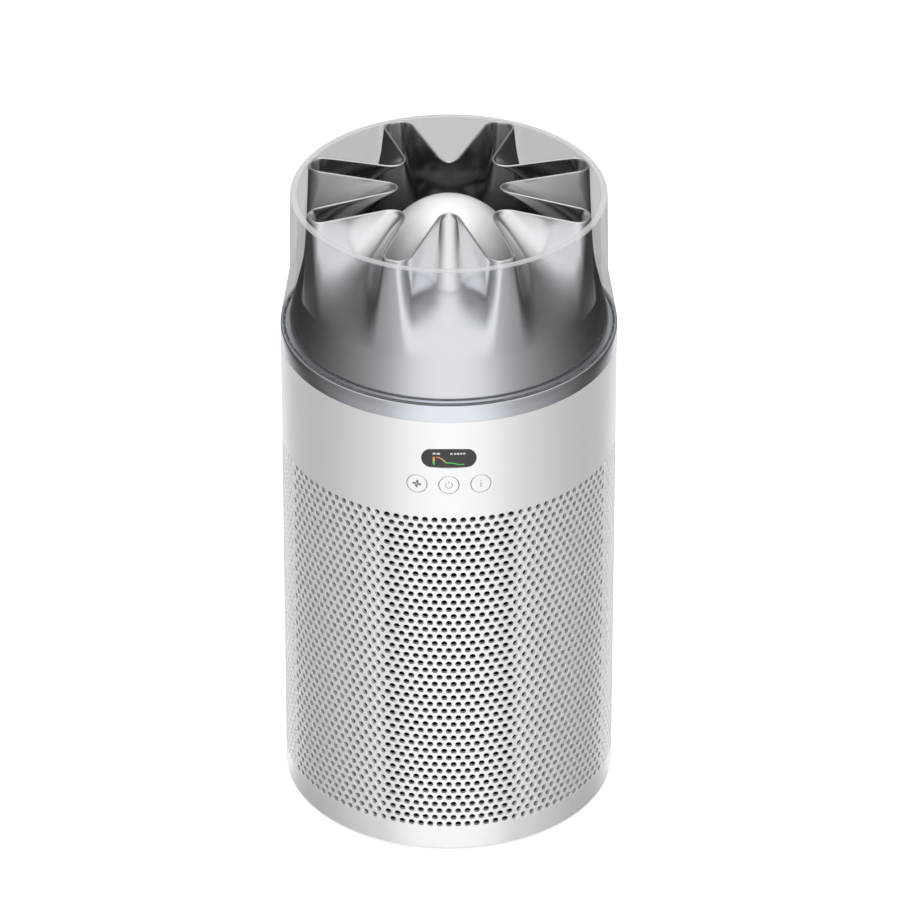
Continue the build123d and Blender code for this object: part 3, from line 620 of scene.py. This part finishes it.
def bandBelow():
    # an outline carried round the sleeve's foot, with a walled cut at the back for the power inlet
    radius, inner, low, edge = shell["radius"], shell["radius"] - shell["wall"], shell["foot"], footBand["edge"]
    high = grille["topRow"] - (grille["rows"] - 0.5) * grille["rowPitch"]
    middle = (high + footBand["cutHigh"]) / 2
    heel = softOutline([(inner, low + 2 * edge, 0), (inner, low, edge / 2),
                        (radius, low, edge), (radius, low + 2 * edge, 0)])
    inside = np.array([(inner, high), (inner, middle), (inner, footBand["cutHigh"]), (inner, footBand["cutLow"])])
    outside = np.array([(radius, footBand["cutLow"]), (radius, footBand["cutHigh"]), (radius, middle), (radius, high)])
    outline = np.concatenate([inside, heel, outside])
    angles = rimAngles(grille["rows"] - 1)
    table = np.broadcast_to(angles, (len(outline), len(angles))).copy()
    rear = grille["panels"] // 2 * panelTurn
    snapped = edgeAngle(footBand["snap"])
    for side in (-1, 1):
        column = np.argmin(np.abs(angles - rear - side * snapped))
        table[1:-1, column] = rear + side * np.arcsin(footBand["cutHalf"] / outline[1:-1, 0])
    points = atAngle(table, outline[:, 1:], outline[:, :1])
    faces = gridQuads(len(outline), len(angles), wrapColumns=True).reshape(len(outline) - 1, len(angles), 4)
    keep = np.ones(faces.shape[:2], bool)
    turn = angles - rear
    gap = (turn > -snapped - slack) & (turn < snapped - slack)
    last = len(outline) - 1
    keep[2, gap] = False
    keep[last - 3, gap] = False
    # walls of the inlet cut: outer and inner edges of the gap joined
    gapColumns = np.nonzero(gap)[0]
    columns = np.append(gapColumns, gapColumns[-1] + 1)
    walls = []
    for inRow, outRow, flip in ((2, last - 2, True), (3, last - 3, False)):
        strip = np.stack([points[inRow, columns], points[outRow, columns]])
        walls.append((strip[::-1] if flip else strip, gridQuads(2, len(columns))))
    for column, flip in ((columns[0], False), (columns[-1], True)):
        sides = np.stack([points[[3, 2], column], points[[last - 3, last - 2], column]])
        walls.append((sides[::-1] if flip else sides, gridQuads(2, 2)))
    return joined((points, faces[keep]), *walls)


sleevePieces = []
for sector in range(grille["panels"] // grille["sector"]):
    first = sector * grille["sector"]
    panels = ["grille_panel_%d" % (first + k + 1) for k in range(grille["sector"])]
    sleevePieces.append(putMesh("sleeve_grille_%d" % (sector + 1), *grilleSector(first), sleeveFinish, "housing",
                                "satin_silver_white", panels))
putMesh("display_band", *bandAbove(), sleeveFinish, "housing", "satin_silver_white", ("control_band",))
putMesh("foot_band", *bandBelow(), sleeveFinish, "housing", "satin_silver_white", ("sleeve_foot",))
print("sleeve done:", sum(len(p.data.polygons) for p in sleevePieces), "grille faces")


ring = {
    "edge": 0.5 * mm, "soft": 0.9 * mm, "spigot": 4.0 * mm, "slip": 0.2 * mm, "bore": 93.0 * mm, "lip": 107.0 * mm,
    "around": 288,
}
ringLow, ringHigh = shell["top"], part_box("trim_ring")[1].z
spigot = shell["radius"] - shell["wall"] - ring["slip"]
ringOutline = softOutline([
    (ring["bore"], ringLow, 0), (spigot - shell["wall"], ringLow, 0),
    (spigot - shell["wall"], ringLow - ring["spigot"], 0), (spigot, ringLow - ring["spigot"], 0), (spigot, ringLow, 0),
    (shell["radius"], ringLow, ring["edge"]), (shell["radius"], ringHigh, ring["soft"]), (ring["lip"], ringHigh, 0),
])
putMesh("trim_ring_turned", *turnedSurface(ringOutline, ring["around"]), ringFinish, "housing", "bright_silver",
        ("trim_ring",))

jacket = {
    "heel": 114.4 * mm, "heelHeight": 3.4 * mm, "flare": 34.0 * mm, "flareInset": 6.0 * mm, "draft": 1.1 * mm,
    "wall": 5.0 * mm, "heelRound": 18.0 * mm, "rimRound": 1.6 * mm, "footRound": 0.5 * mm,
    "around": 288, "bendSteps": 9,
}
jacketLow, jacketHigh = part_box("nozzle_jacket")[0].z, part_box("nozzle_jacket")[1].z


def sideLine(inset):
    # radius and height of the flared side: heel, flare, crease, rim
    heel = jacket["heel"] - inset
    crease = heel - jacket["flareInset"]
    bend = jacketLow + jacket["heelHeight"]
    return [(heel, bend), (crease, bend + jacket["flare"]), (crease - jacket["draft"], jacketHigh)]


outer, inner = sideLine(0), sideLine(jacket["wall"])
jacketOutline = softOutline([
    (jacket["heel"], jacketLow, jacket["footRound"]),
    (*outer[0], jacket["heelRound"]), (*outer[1], 0), (*outer[2], jacket["rimRound"]),
    (*inner[2], jacket["rimRound"]), (*inner[1], 0), (*inner[0], jacket["heelRound"]),
    (jacket["heel"] - jacket["wall"], jacketLow, jacket["footRound"]),
], jacket["bendSteps"])
putMesh("clear_jacket", *turnedSurface(jacketOutline, jacket["around"]), clearFinish, "housing", "clear",
        ("nozzle_jacket",))

seal = {"recess": 1.0 * mm, "band": 1.6 * mm, "edge": 0.25 * mm}
sealOut = jacket["heel"] - seal["recess"]
sealOutline = softOutline([
    (sealOut - seal["band"], ringHigh, 0), (sealOut, ringHigh, seal["edge"]),
    (sealOut, jacketLow, seal["edge"]), (sealOut - seal["band"], jacketLow, 0),
])
putMesh("seal_ring", *turnedSurface(sealOutline), sealFinish, "housing", "black_rubber", ("jacket_seal",))

bullet = {
    "radius": 52.0 * mm, "nose": 60.0 * mm, "tip": 44.0 * mm, "drop": 8.0 * mm, "foot": 46.0 * mm, "wall": 2.0 * mm,
    "flankSteps": 40, "noseSteps": 30, "around": 192,
}


def bulletOutline():
    # flank arc upright at the belly, then a round nose that meets it at a common tangent
    belly = jacketHigh - bullet["drop"] - bullet["nose"]
    narrow, raised = bullet["radius"] - bullet["tip"], bullet["nose"] - bullet["tip"]
    shift = (raised ** 2 - narrow ** 2) / (2 * narrow)
    meet = math.atan2(raised, shift)
    flank = np.linspace(0, meet, bullet["flankSteps"])
    nose = np.linspace(meet, math.pi / 2, bullet["noseSteps"])[1:]

    def line(inset):
        # foot, flank and nose, all moved in by the inset
        big, small = bullet["radius"] + shift - inset, bullet["tip"] - inset
        return np.concatenate([
            [(bullet["foot"] - inset, shell["top"])],
            np.stack([big * np.cos(flank) - shift, belly + big * np.sin(flank)], 1),
            np.stack([small * np.cos(nose), belly + raised + small * np.sin(nose)], 1),
        ])
    return np.concatenate([line(0), line(bullet["wall"])[::-1]])


putMesh("bullet_dome", *turnedSurface(np.maximum(bulletOutline(), 0), bullet["around"]), bulletFinish, "housing",
        "bullet_silver", ("centre_bullet",))
print("turned pieces done")


nozzle = {
    "gap": 0.6 * mm, "wall": 1.6 * mm, "rise": 1.0 * mm, "tipRise": 3.6 * mm,
    "square": (32.2 * mm, 5.5 * mm, 19.5), "diagonal": (43.0 * mm, 8.2 * mm, 25.5), "corner": 8.6 * mm,
    "columns": 42, "dense": 60, "pull": 16.0 * mm, "rim": 7, "skirtRows": 8, "foldRows": 44, "creaseSoft": 0.5 * mm,
    "flare": 24.5 * mm, "steady": 0.33, "swoop": 2.4, "sharpen": 4.5,
    "edgesLow": (15.4, 14.4), "edgesHigh": (18.4, 18.4), "blunt": 0.26, "settle": 8, "sharp": 60,
}
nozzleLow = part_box("nozzle_lobe_1")[0].z
nozzleLip = jacketHigh + nozzle["rise"]
nozzleCrown = nozzleLip + nozzle["tipRise"]
nozzleCrease = jacketLow + jacket["heelHeight"] + nozzle["flare"]


def nozzleRadius(z, inset):
    # the jacket's inner side line, a gap further in, straight from heel to crease and from crease to lip
    side = sideLine(jacket["wall"] + nozzle["gap"] + inset)
    return np.interp(z, [side[0][1], nozzleCrease, nozzleLip], [side[0][0], side[1][0], side[2][0]])


def foldHalf(shape, inset):
    # half of a fold at the crown in its own frame, x outward: round tip, straight wall at the fold's angle,
    # round corner that touches the wall and the outer circle, then the outer circle to half way to the next fold
    tip, roundness, lean = shape[0], shape[1] + inset, math.radians(shape[2])
    rim, corner = nozzleRadius(nozzleLip, inset), nozzle["corner"] - inset
    along = np.array([math.cos(lean), math.sin(lean)])
    away = np.array([-math.sin(lean), math.cos(lean)])
    middle = np.array([tip + shape[1], 0.0])
    start = middle + roundness * away
    base = start + corner * away
    run = math.sqrt((base @ along) ** 2 - base @ base + (rim - corner) ** 2) - base @ along
    hub = base + run * along
    low, high, half = lean - math.pi / 2, math.atan2(hub[1], hub[0]), math.pi / 8
    t = np.linspace(0, 1, nozzle["dense"])[:, None]

    def circle(turn):
        # unit vectors at these turns
        return np.concatenate([np.cos(turn), np.sin(turn)], 1)

    line = np.concatenate([
        middle + roundness * circle(math.pi - t * (math.pi / 2 - lean)),
        start + t * run * along,
        hub + corner * circle(low + t * (high - low)),
        rim * circle(high + t * (half - high)),
    ])
    bends = np.array([math.pi / 2 - lean, 0.0, high - low, half - high])
    turning = np.concatenate([bends[:k].sum() + bends[k] * t[:, 0] for k in range(4)])
    return line, turning, high


def spacedColumns(line, turning):
    # places along the half fold, even in length plus turning, so that round parts get more columns
    step = np.hypot(*np.diff(line, axis=0).T) + nozzle["pull"] * np.abs(np.diff(turning))
    measure = np.append(0, np.cumsum(step + 1e-12))
    return np.interp(np.linspace(0, measure[-1], nozzle["columns"]), measure, np.arange(len(line)))


def spun(points, angle):
    # flat points turned round the axis
    c, s = math.cos(angle), math.sin(angle)
    return np.stack([points[..., 0] * c - points[..., 1] * s, points[..., 0] * s + points[..., 1] * c], -1)


def starOutline(inset):
    # outline at the crown: an eighth turn from a square fold to a diagonal one, then mirrored round
    eighth = []
    for key in ("square", "diagonal"):
        places = spacedColumns(*foldHalf(nozzle[key], 0.0)[:2])
        line = foldHalf(nozzle[key], inset)[0]
        index = np.arange(len(line))
        eighth.append(np.stack([np.interp(places, index, line[:, k]) for k in range(2)], 1))
    square, diagonal = eighth
    flip = np.array([1, -1])
    span = np.concatenate([square[:-1], spun(diagonal * flip, math.pi / 4)[::-1]])
    whole = []
    for k in range(4):
        whole.append(spun(span, k * math.pi / 2)[:-1])
        whole.append(spun(span * flip, (k + 1) * math.pi / 2)[:0:-1])
    return np.concatenate(whole)


def softDepth(star, share):
    # depth of a rounded valley at each column: one less the square of the turn from the valley's middle as a share
    # of the turn to the lobe's edge, never under zero, with a rounded passage to zero; valleys narrow downward
    turn = np.abs((np.arctan2(star[:, 1], star[:, 0]) + math.pi / 4) % (math.pi / 2) - math.pi / 4)
    square = turn < foldHalf(nozzle["square"], 0.0)[2]
    low, high, blunt = np.radians(nozzle["edgesLow"]), np.radians(nozzle["edgesHigh"]), nozzle["blunt"]
    edge = [low[k] + (high[k] - low[k]) * share for k in range(2)]
    hollow = 1 - np.where(square, turn / edge[0], (math.pi / 4 - turn) / edge[1]) ** 2
    deep = nozzleRadius(nozzleLip, 0.0) - np.where(square, nozzle["square"][0], nozzle["diagonal"][0])
    return deep * np.where(hollow > blunt, hollow, np.clip(hollow + blunt, 0, None) ** 2 / (4 * blunt))


def lobedSurface():
    # below the crease a plain turned skirt; above it the radius falls off steadily and then by a power of the
    # height, and what it falls to turns from rounded valleys into the star's straight walls
    limit = nozzleRadius(nozzleLip, 0.0)
    soft = nozzle["creaseSoft"]

    def wall(inset, z, star):
        # points of one side of the wall: along each column's direction, at the radius less the fall times the depth
        size = np.hypot(*star.T)
        share = np.clip((z - nozzleCrease) / (nozzleCrown - nozzleCrease), 0, 1)
        sharp = share ** nozzle["sharpen"]
        depth = sharp * (nozzleRadius(nozzleLip, inset) - size) + (1 - sharp) * softDepth(star, share)
        fall = nozzle["steady"] * share + (1 - nozzle["steady"]) * share ** nozzle["swoop"]
        radius = nozzleRadius(z, inset) - fall * depth
        return np.concatenate([star / size[:, None] * radius[..., None], z[..., None]], -1)

    out, air = starOutline(0.0), starOutline(nozzle["wall"])
    top = np.full(len(out), nozzleLip)
    for _ in range(nozzle["settle"]):
        top = nozzleCrown - nozzle["tipRise"] * np.hypot(*wall(0.0, top, out)[:, :2].T) / limit
    top = top - nozzle["wall"] / 2
    rise = np.linspace(0, 1, nozzle["foldRows"])[:, None]
    skirt = np.linspace(nozzleLow, nozzleCrease - soft, nozzle["skirtRows"])[:, None] + 0 * top
    z = np.concatenate([skirt, np.full((1, len(top)), nozzleCrease),
                        nozzleCrease + soft + rise * (top - nozzleCrease - soft)])
    outside, inside = wall(0.0, z, out), wall(nozzle["wall"], z, air)
    middle, reach = (outside[-1] + inside[-1]) / 2, (outside[-1] - inside[-1]) / 2
    over = np.linspace(0, math.pi, nozzle["rim"] + 2)[1:-1, None, None]
    rim = middle + np.cos(over) * reach + np.sin(over) * np.array([0, 0, nozzle["wall"] / 2])
    points = np.concatenate([outside, rim, inside[::-1]])
    return points, gridQuads(len(points), len(out), wrapRows=True, wrapColumns=True)


putMesh("lobed_nozzle", *lobedSurface(), nozzleFinish, "housing", "nozzle_silver",
        ["nozzle_lobe_%d" % k for k in range(1, 9)], sharp=nozzle["sharp"])
print("nozzle done")


lens = {
    "width": 36.8 * mm, "height": 14.8 * mm, "recess": 0.2 * mm, "soft": 0.5 * mm, "around": 96, "rings": 9, "roll": 6,
    "start": 0.02, "ease": 0.5,
}
lensFront = shell["radius"] - lens["recess"]
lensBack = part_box("display_lens")[1].y


def lensSurface():
    # pill-shaped rings that grow from the middle line to the rim, roll over the edge and run straight back
    size = lens["height"] / 2
    run = lens["width"] / 2 - size
    turn = np.linspace(0, 2 * math.pi, lens["around"], endpoint=False) + math.pi / lens["around"]
    spine = np.where(np.cos(turn) > 0, run, -run)
    bend = np.linspace(0, math.pi / 2, lens["roll"])
    soft = lens["soft"]
    face = np.linspace(lens["start"], 1, lens["rings"])[:-1] * (size - soft)
    grow = np.concatenate([face, size - soft + soft * np.sin(bend)])
    deep = np.concatenate([0 * face, soft * (1 - np.cos(bend))])
    u = spine * np.clip(grow / (size - soft), 0, 1)[:, None] ** lens["ease"] + grow[:, None] * np.cos(turn)
    z = band["pillCentre"] + grow[:, None] * np.sin(turn)
    front = np.stack([u, -np.sqrt((lensFront - deep[:, None]) ** 2 - u ** 2), z], -1)
    back = front[-1:] * [1, 0, 1] + [0, lensBack, 0]
    middle = np.array([0, 1, 0]) * front[0].mean(0) + [0, 0, band["pillCentre"]]
    centre = np.broadcast_to(middle, front[:1].shape)
    closing = np.broadcast_to([0, lensBack, band["pillCentre"]], front[:1].shape)
    points = np.concatenate([centre, front, back, closing])[:, ::-1]
    return points, gridQuads(len(points), lens["around"], wrapColumns=True)


putMesh("display_window", *lensSurface(), lensFinish, "housing", "dark_glass", ("display_lens",))


button = {
    "radius": 6.7 * mm, "soft": 0.5 * mm, "flange": 1.5 * mm, "flangeThick": 1.2 * mm, "stem": 2.0 * mm,
    "stemLong": 0.6 * mm, "around": 72, "dish": 0.12 * mm, "rings": 9, "roll": 6,
}
keys = (("fan_speed_button", "fan_speed_key", -1), ("power_button", "power_key", 0), ("info_button", "info_key", 1))


def buttonSurface(centre, back):
    # rings round the button's axis: slightly dished face that follows the sleeve, rolled edge, side, flange, stem
    size, soft = button["radius"], button["soft"]
    turn = np.linspace(0, 2 * math.pi, button["around"], endpoint=False)[::-1]
    bend = np.linspace(0, math.pi / 2, button["roll"])
    face = np.linspace(0, size - soft, button["rings"])[:-1]
    grow = np.concatenate([face, size - soft + soft * np.sin(bend)])
    dish = button["dish"] * np.clip(1 - (face / (size - soft)) ** 2, 0, 1)
    deep = np.concatenate([dish, soft * (1 - np.cos(bend))])
    u = centre + grow[:, None] * np.cos(turn)
    z = band["buttonHeight"] + grow[:, None] * np.sin(turn)
    front = np.stack([u, -np.sqrt((shell["radius"] - deep[:, None]) ** 2 - u ** 2), z], -1)
    flangeBack = back - button["stemLong"]
    flangeFace = flangeBack - button["flangeThick"]
    tail = np.array([(size, flangeFace), (size + button["flange"], flangeFace), (size + button["flange"], flangeBack),
                     (button["stem"], flangeBack), (button["stem"], back), (0, back)])
    behind = np.stack(np.broadcast_arrays(centre + tail[:, :1] * np.cos(turn), tail[:, 1:],
                                          band["buttonHeight"] + tail[:, :1] * np.sin(turn)), -1)
    points = np.concatenate([front, behind])
    return points, gridQuads(len(points), button["around"], wrapColumns=True)


for node, body, side in keys:
    putMesh(node.replace("button", "cap"), *buttonSurface(side * band["buttonPitch"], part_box(node)[1].y), buttonFinish,
            body, "button_silver", (node,))
print("window and buttons done")


marks = {"proud": 0.03 * mm, "sunk": 0.12 * mm, "line": 0.42 * mm}


def ribbon(path, width, radius):
    # a flat four-sided section carried along a path drawn on the sleeve's cylinder
    path = np.asarray(path, float)
    width = np.broadcast_to(np.asarray(width, float), len(path))[:, None] / 2
    way = np.gradient(path, axis=0)
    way = way / np.hypot(way[:, :1], way[:, 1:])
    left = np.stack([-way[:, 1], way[:, 0]], 1)
    one, two = path + left * width, path - left * width
    proud, sunk = radius + marks["proud"], radius - marks["sunk"]
    section = np.stack([onShell(one[:, 0], one[:, 1], proud), onShell(two[:, 0], two[:, 1], proud),
                        onShell(two[:, 0], two[:, 1], sunk), onShell(one[:, 0], one[:, 1], sunk)], 1)
    last = (len(path) - 1) * 4
    ends = [[3, 2, 1, 0], [last, last + 1, last + 2, last + 3]]
    return section, np.concatenate([gridQuads(len(path), 4, wrapColumns=True), ends])


def arcPath(centre, height, size, low, high, steps=40):
    # part of a circle, between two turns in degrees
    turn = np.radians(np.linspace(low, high, steps))
    return np.stack([centre + size * np.cos(turn), height + size * np.sin(turn)], 1)


def linePath(points, steps=8):
    # straight runs from point to point, each divided into the same number of steps
    points = np.asarray(points, float)
    t = np.linspace(0, len(points) - 1, (len(points) - 1) * steps + 1)
    index = np.arange(len(points))
    return np.stack([np.interp(t, index, points[:, 0]), np.interp(t, index, points[:, 1])], 1)


icon = {
    "face": shell["radius"] - 0.1 * mm, "power": 2.4 * mm, "powerArc": (125, 415), "powerBar": (0.5, 1.35),
    "blade": 2.9 * mm, "bladeWide": 1.8 * mm, "bladeTurns": (60, 150, 240, 330), "bladeBend": 34, "hub": 0.12,
    "bladeEnds": (0.02, 0.94), "bladeSteps": 16, "info": 2.6 * mm, "infoWide": 1.3,
    "infoRuns": ((-1, 0.4), (0.72, 1)),
}
high = band["buttonHeight"]
left, right = -band["buttonPitch"], band["buttonPitch"]
petals = []
for turn in icon["bladeTurns"]:
    # a blade runs out from the hub while it turns; it is widest near its middle
    t = np.linspace(0, 1, icon["bladeSteps"])
    size = (icon["hub"] + (1 - icon["hub"]) * t) * icon["blade"]
    bend = np.radians(turn + icon["bladeBend"] * t)
    path = np.stack([left + size * np.cos(bend), high + size * np.sin(bend)], 1)
    swell = np.sqrt(np.sin(math.pi * np.clip(t, *icon["bladeEnds"])))
    petals.append(ribbon(path, icon["bladeWide"] * (icon["hub"] + (1 - icon["hub"]) * swell), icon["face"]))


def upright(across, ends, size, width):
    # a straight upright stroke between two heights, given as shares of the mark's size
    return ribbon(linePath([(across, high + end * size) for end in ends]), width, icon["face"])


powerMark = [
    ribbon(arcPath(0, high, icon["power"], *icon["powerArc"]), marks["line"], icon["face"]),
    upright(0, icon["powerBar"], icon["power"], marks["line"]),
]
infoMark = [upright(right, ends, icon["info"], marks["line"] * icon["infoWide"]) for ends in icon["infoRuns"]]
for name, body, parts in (("fan_mark", "fan_speed_key", petals), ("power_mark", "power_key", powerMark),
                          ("info_mark", "info_key", infoMark)):
    putMesh(name, *joined(*parts), inkFinish, body, "black_plastic")

graph = {
    "left": -10.2 * mm, "bottom": 315.6 * mm, "top": 322.0 * mm, "line": 0.75 * mm, "bar": 1.25 * mm,
    "curve": [(-8.6, 321.6), (-6.6, 321.5), (-4.6, 320.3), (-1.7, 317.3), (1.2, 317.2), (3.6, 316.9), (6.0, 316.0),
              (10.4, 316.0)],
    "dashes": [(-10.9, -9.0), (-8.3, -6.0), (0.9, 2.4), (3.6, 5.0), (5.6, 7.0), (7.6, 9.0), (9.6, 11.0)],
    "dashHeight": 324.4 * mm,
}
spectrum = [(0.0, tone(0.05, 0.55, 0.10)), (0.3, tone(0.10, 0.60, 0.12)), (0.55, tone(0.85, 0.55, 0.06)),
            (0.9, tone(0.85, 0.30, 0.05))]
graphLight = lit("graphLight", spectrum, graph["bottom"], graph["top"])
paleStops = [(0.0, tone(0.8, 0.8, 0.82)), (1.0, tone(0.85, 0.85, 0.87))]
labelLight = lit("labelLight", paleStops, graph["bottom"], graph["dashHeight"], strength=0.8)
drawn = [
    ribbon(linePath([(graph["left"], graph["bottom"]), (graph["left"], graph["top"])]), graph["bar"], lensFront),
    ribbon(linePath(np.array(graph["curve"]) * mm), graph["line"], lensFront),
]
putMesh("display_graph", *joined(*drawn), graphLight, "housing", "dark_glass")
labels = [ribbon(linePath([(a * mm, graph["dashHeight"]), (b * mm, graph["dashHeight"])]), graph["bar"], lensFront)
          for a, b in graph["dashes"]]
putMesh("display_labels", *joined(*labels), labelLight, "housing", "dark_glass")
print("marks done")


studio = {
    "floor": 6.0, "floorTone": 0.58, "floorShadeThrough": 0.34, "floorGlow": 0.5, "ambient": 0.8,
    # each lamp's place, the height that it is aimed at, its width and height, and its power
    "lamps": {
        "frontSoft": ((0.0, -2.6, 1.9), 0.25, (1.2, 1.8), 36.0),
        "topSoft": ((0.0, 0.2, 2.4), 0.3, (1.6, 1.6), 18.0),
        "leftSoft": ((-2.0, 1.7, 0.9), 0.25, (0.9, 1.8), 56.0),
        "rightSoft": ((2.0, 1.7, 0.9), 0.25, (0.9, 1.8), 56.0),
    },
    # painted reflection: what polished metal sees round the room, far off and low, from the front (0) to behind the
    # object (1)
    "room": [(0.0, 1.0), (0.08, 0.97), (0.14, 0.82), (0.18, 0.66), (0.22, 0.50), (0.26, 0.40), (0.34, 0.28),
             (0.43, 0.18), (0.53, 0.10), (0.62, 0.055), (0.76, 0.03), (0.9, 0.03), (0.96, 0.1), (1.0, 0.3)],
    # the same over the horizon, where it grows brighter behind and up to the sky
    "over": [(0.0, 1.0), (0.08, 0.97), (0.14, 0.84), (0.18, 0.70), (0.22, 0.55), (0.26, 0.44), (0.34, 0.30),
             (0.43, 0.19), (0.53, 0.12), (0.62, 0.09), (0.76, 0.13), (0.86, 0.24), (1.0, 0.4)],
    # the same painted reflection for the floor near by, painted brighter behind too, by the turn of the ray that a
    # wall sends there
    "near": [(0.0, 1.0), (0.11, 0.97), (0.183, 0.8), (0.243, 0.55), (0.365, 0.385), (0.486, 0.217), (0.57, 0.11),
             (0.635, 0.095), (0.70, 0.13), (0.767, 0.26), (0.854, 0.58), (0.909, 0.95), (0.945, 0.9), (1.0, 0.6)],
    "nearEnd": 0.66, "farStart": 0.74,  # distances between which the near floor passes into the far floor
    "skyLow": 0.5, "skyHigh": 1.0, "sky": 0.97, "cool": (1.01, 1.03),
}


def roomAround(paint, x, y, key="room", spread=1.0):
    # brightness by the turn away from the front, as a share of half a turn
    turn = paint.math("ARCTAN2", paint.math("ABSOLUTE", x), -1 * y) / math.pi * spread
    green, blue = studio["cool"]
    stops = [(at, tone(v, v * green, v * blue)) for at, v in studio[key]]
    return paint.node("ValToRGB", {"stops": stops}, {0: turn})


def makeFloor():
    # a level square that glows white for the camera, is painted darker where seen through the clear jacket, and shows
    # polished metal a painted room
    half = studio["floor"]
    mesh = bpy.data.meshes.new("floor")
    mesh.from_pydata([(-half, -half, 0), (half, -half, 0), (half, half, 0), (-half, half, 0)], [], [(0, 1, 2, 3)])
    floor = bpy.data.objects.new("floor", mesh)
    bpy.context.scene.collection.objects.link(floor)
    paint = Paint("floorWhite")
    path = paint.node("LightPath")
    glossy = Wire(paint, path.socket.node.outputs["Is Glossy Ray"])
    shade, glow, shadeThrough = studio["floorTone"], studio["floorGlow"], studio["floorShadeThrough"]
    x, y, _ = paint.axes()
    # the floor glows white for the camera; seen through the clear jacket it loses the glow and its colour is painted
    # darker, a painted shade
    through = path * paint.math("MINIMUM", Wire(paint, path.socket.node.outputs["Transparent Depth"]), 1)
    plain = paint.mix(path - through, grey(0), grey(glow))
    ground = paint.mix(through, grey(shade), grey(shadeThrough))
    reach = paint.math("SQRT", x * x + y * y)
    away = paint.smooth(reach, studio["nearEnd"], studio["farStart"])
    # a ray that leaves the upright sleeve has turned further than the place it meets: the place's turn is divided
    # by one less half the sleeve's radius over the place's distance
    size = shell["radius"]
    near = roomAround(paint, x, y, "near", 1 / (1 - size / 2 / paint.math("MAXIMUM", reach, size)))
    paint.set({
        "Base Color": paint.mix(glossy, ground, grey(0)),
        "Roughness": 0.9,
        "Specular IOR Level": 0.0,
        "Emission Color": paint.mix(glossy, plain, paint.mix(away, near, roomAround(paint, x, y))),
        "Emission Strength": 1.0,
    })
    mesh.materials.append(paint.material)


def makeWorld():
    # white for the camera, a plain grey light for matt surfaces, the painted room for polished metal
    world = bpy.data.worlds.new("studio")
    bpy.context.scene.world = world
    world.use_nodes = True
    paint = Paint("studio", world.node_tree)
    path = paint.node("LightPath")
    seen = paint.math("MAXIMUM", path, Wire(paint, path.socket.node.outputs["Is Transmission Ray"]))
    glossy = Wire(paint, path.socket.node.outputs["Is Glossy Ray"])
    split = paint.node("SeparateXYZ", {}, {0: paint.node("TexCoord", out="Generated")}).socket.node
    x, y, z = [Wire(paint, split.outputs[k]) for k in range(3)]
    high = paint.smooth(z, studio["skyLow"], studio["skyHigh"])
    room = paint.mix(high, roomAround(paint, x, y, "over"), grey(studio["sky"]))
    colour = paint.mix(glossy, grey(studio["ambient"]), room)
    colour = paint.mix(seen, colour, grey(1))
    background = world.node_tree.nodes["Background"]
    paint.plug(background.inputs["Color"], colour)
    background.inputs["Strength"].default_value = 1.0


def softLamp(name, place, aim, size, power):
    # a rectangle of light turned towards a point of the axis
    data = bpy.data.lights.new(name, "AREA")
    data.shape, data.size, data.size_y, data.energy = "RECTANGLE", size[0], size[1], power
    lamp = bpy.data.objects.new(name, data)
    bpy.context.scene.collection.objects.link(lamp)
    lamp.location = place
    lamp.rotation_euler = (Vector((0, 0, aim)) - Vector(place)).to_track_quat("-Z", "Y").to_euler()
    lamp.visible_glossy = False  # polished metal sees the painted room, not the bare lamp


makeFloor()
makeWorld()
for name, settings in studio["lamps"].items():
    softLamp(name, *settings)

lookout = {
    "elevation": 31.95, "distance": 4.913, "aim": 0.25596, "lens": 284.6, "shift": 0.0012, "sensor": 36.0, "far": 50.0,
}
cameraData = bpy.data.cameras.new("photoCamera")
cameraData.lens, cameraData.sensor_width, cameraData.shift_x = lookout["lens"], lookout["sensor"], lookout["shift"]
cameraData.clip_end = lookout["far"]
camera = bpy.data.objects.new("photoCamera", cameraData)
bpy.context.scene.collection.objects.link(camera)
tilt = math.radians(lookout["elevation"])
camera.location = (0, -lookout["distance"] * math.cos(tilt), lookout["aim"] + lookout["distance"] * math.sin(tilt))
camera.rotation_euler = (math.pi / 2 - tilt, 0, 0)
bpy.context.scene.camera = camera
bpy.context.scene.view_settings.view_transform = "Standard"
print("stage, light and camera done")
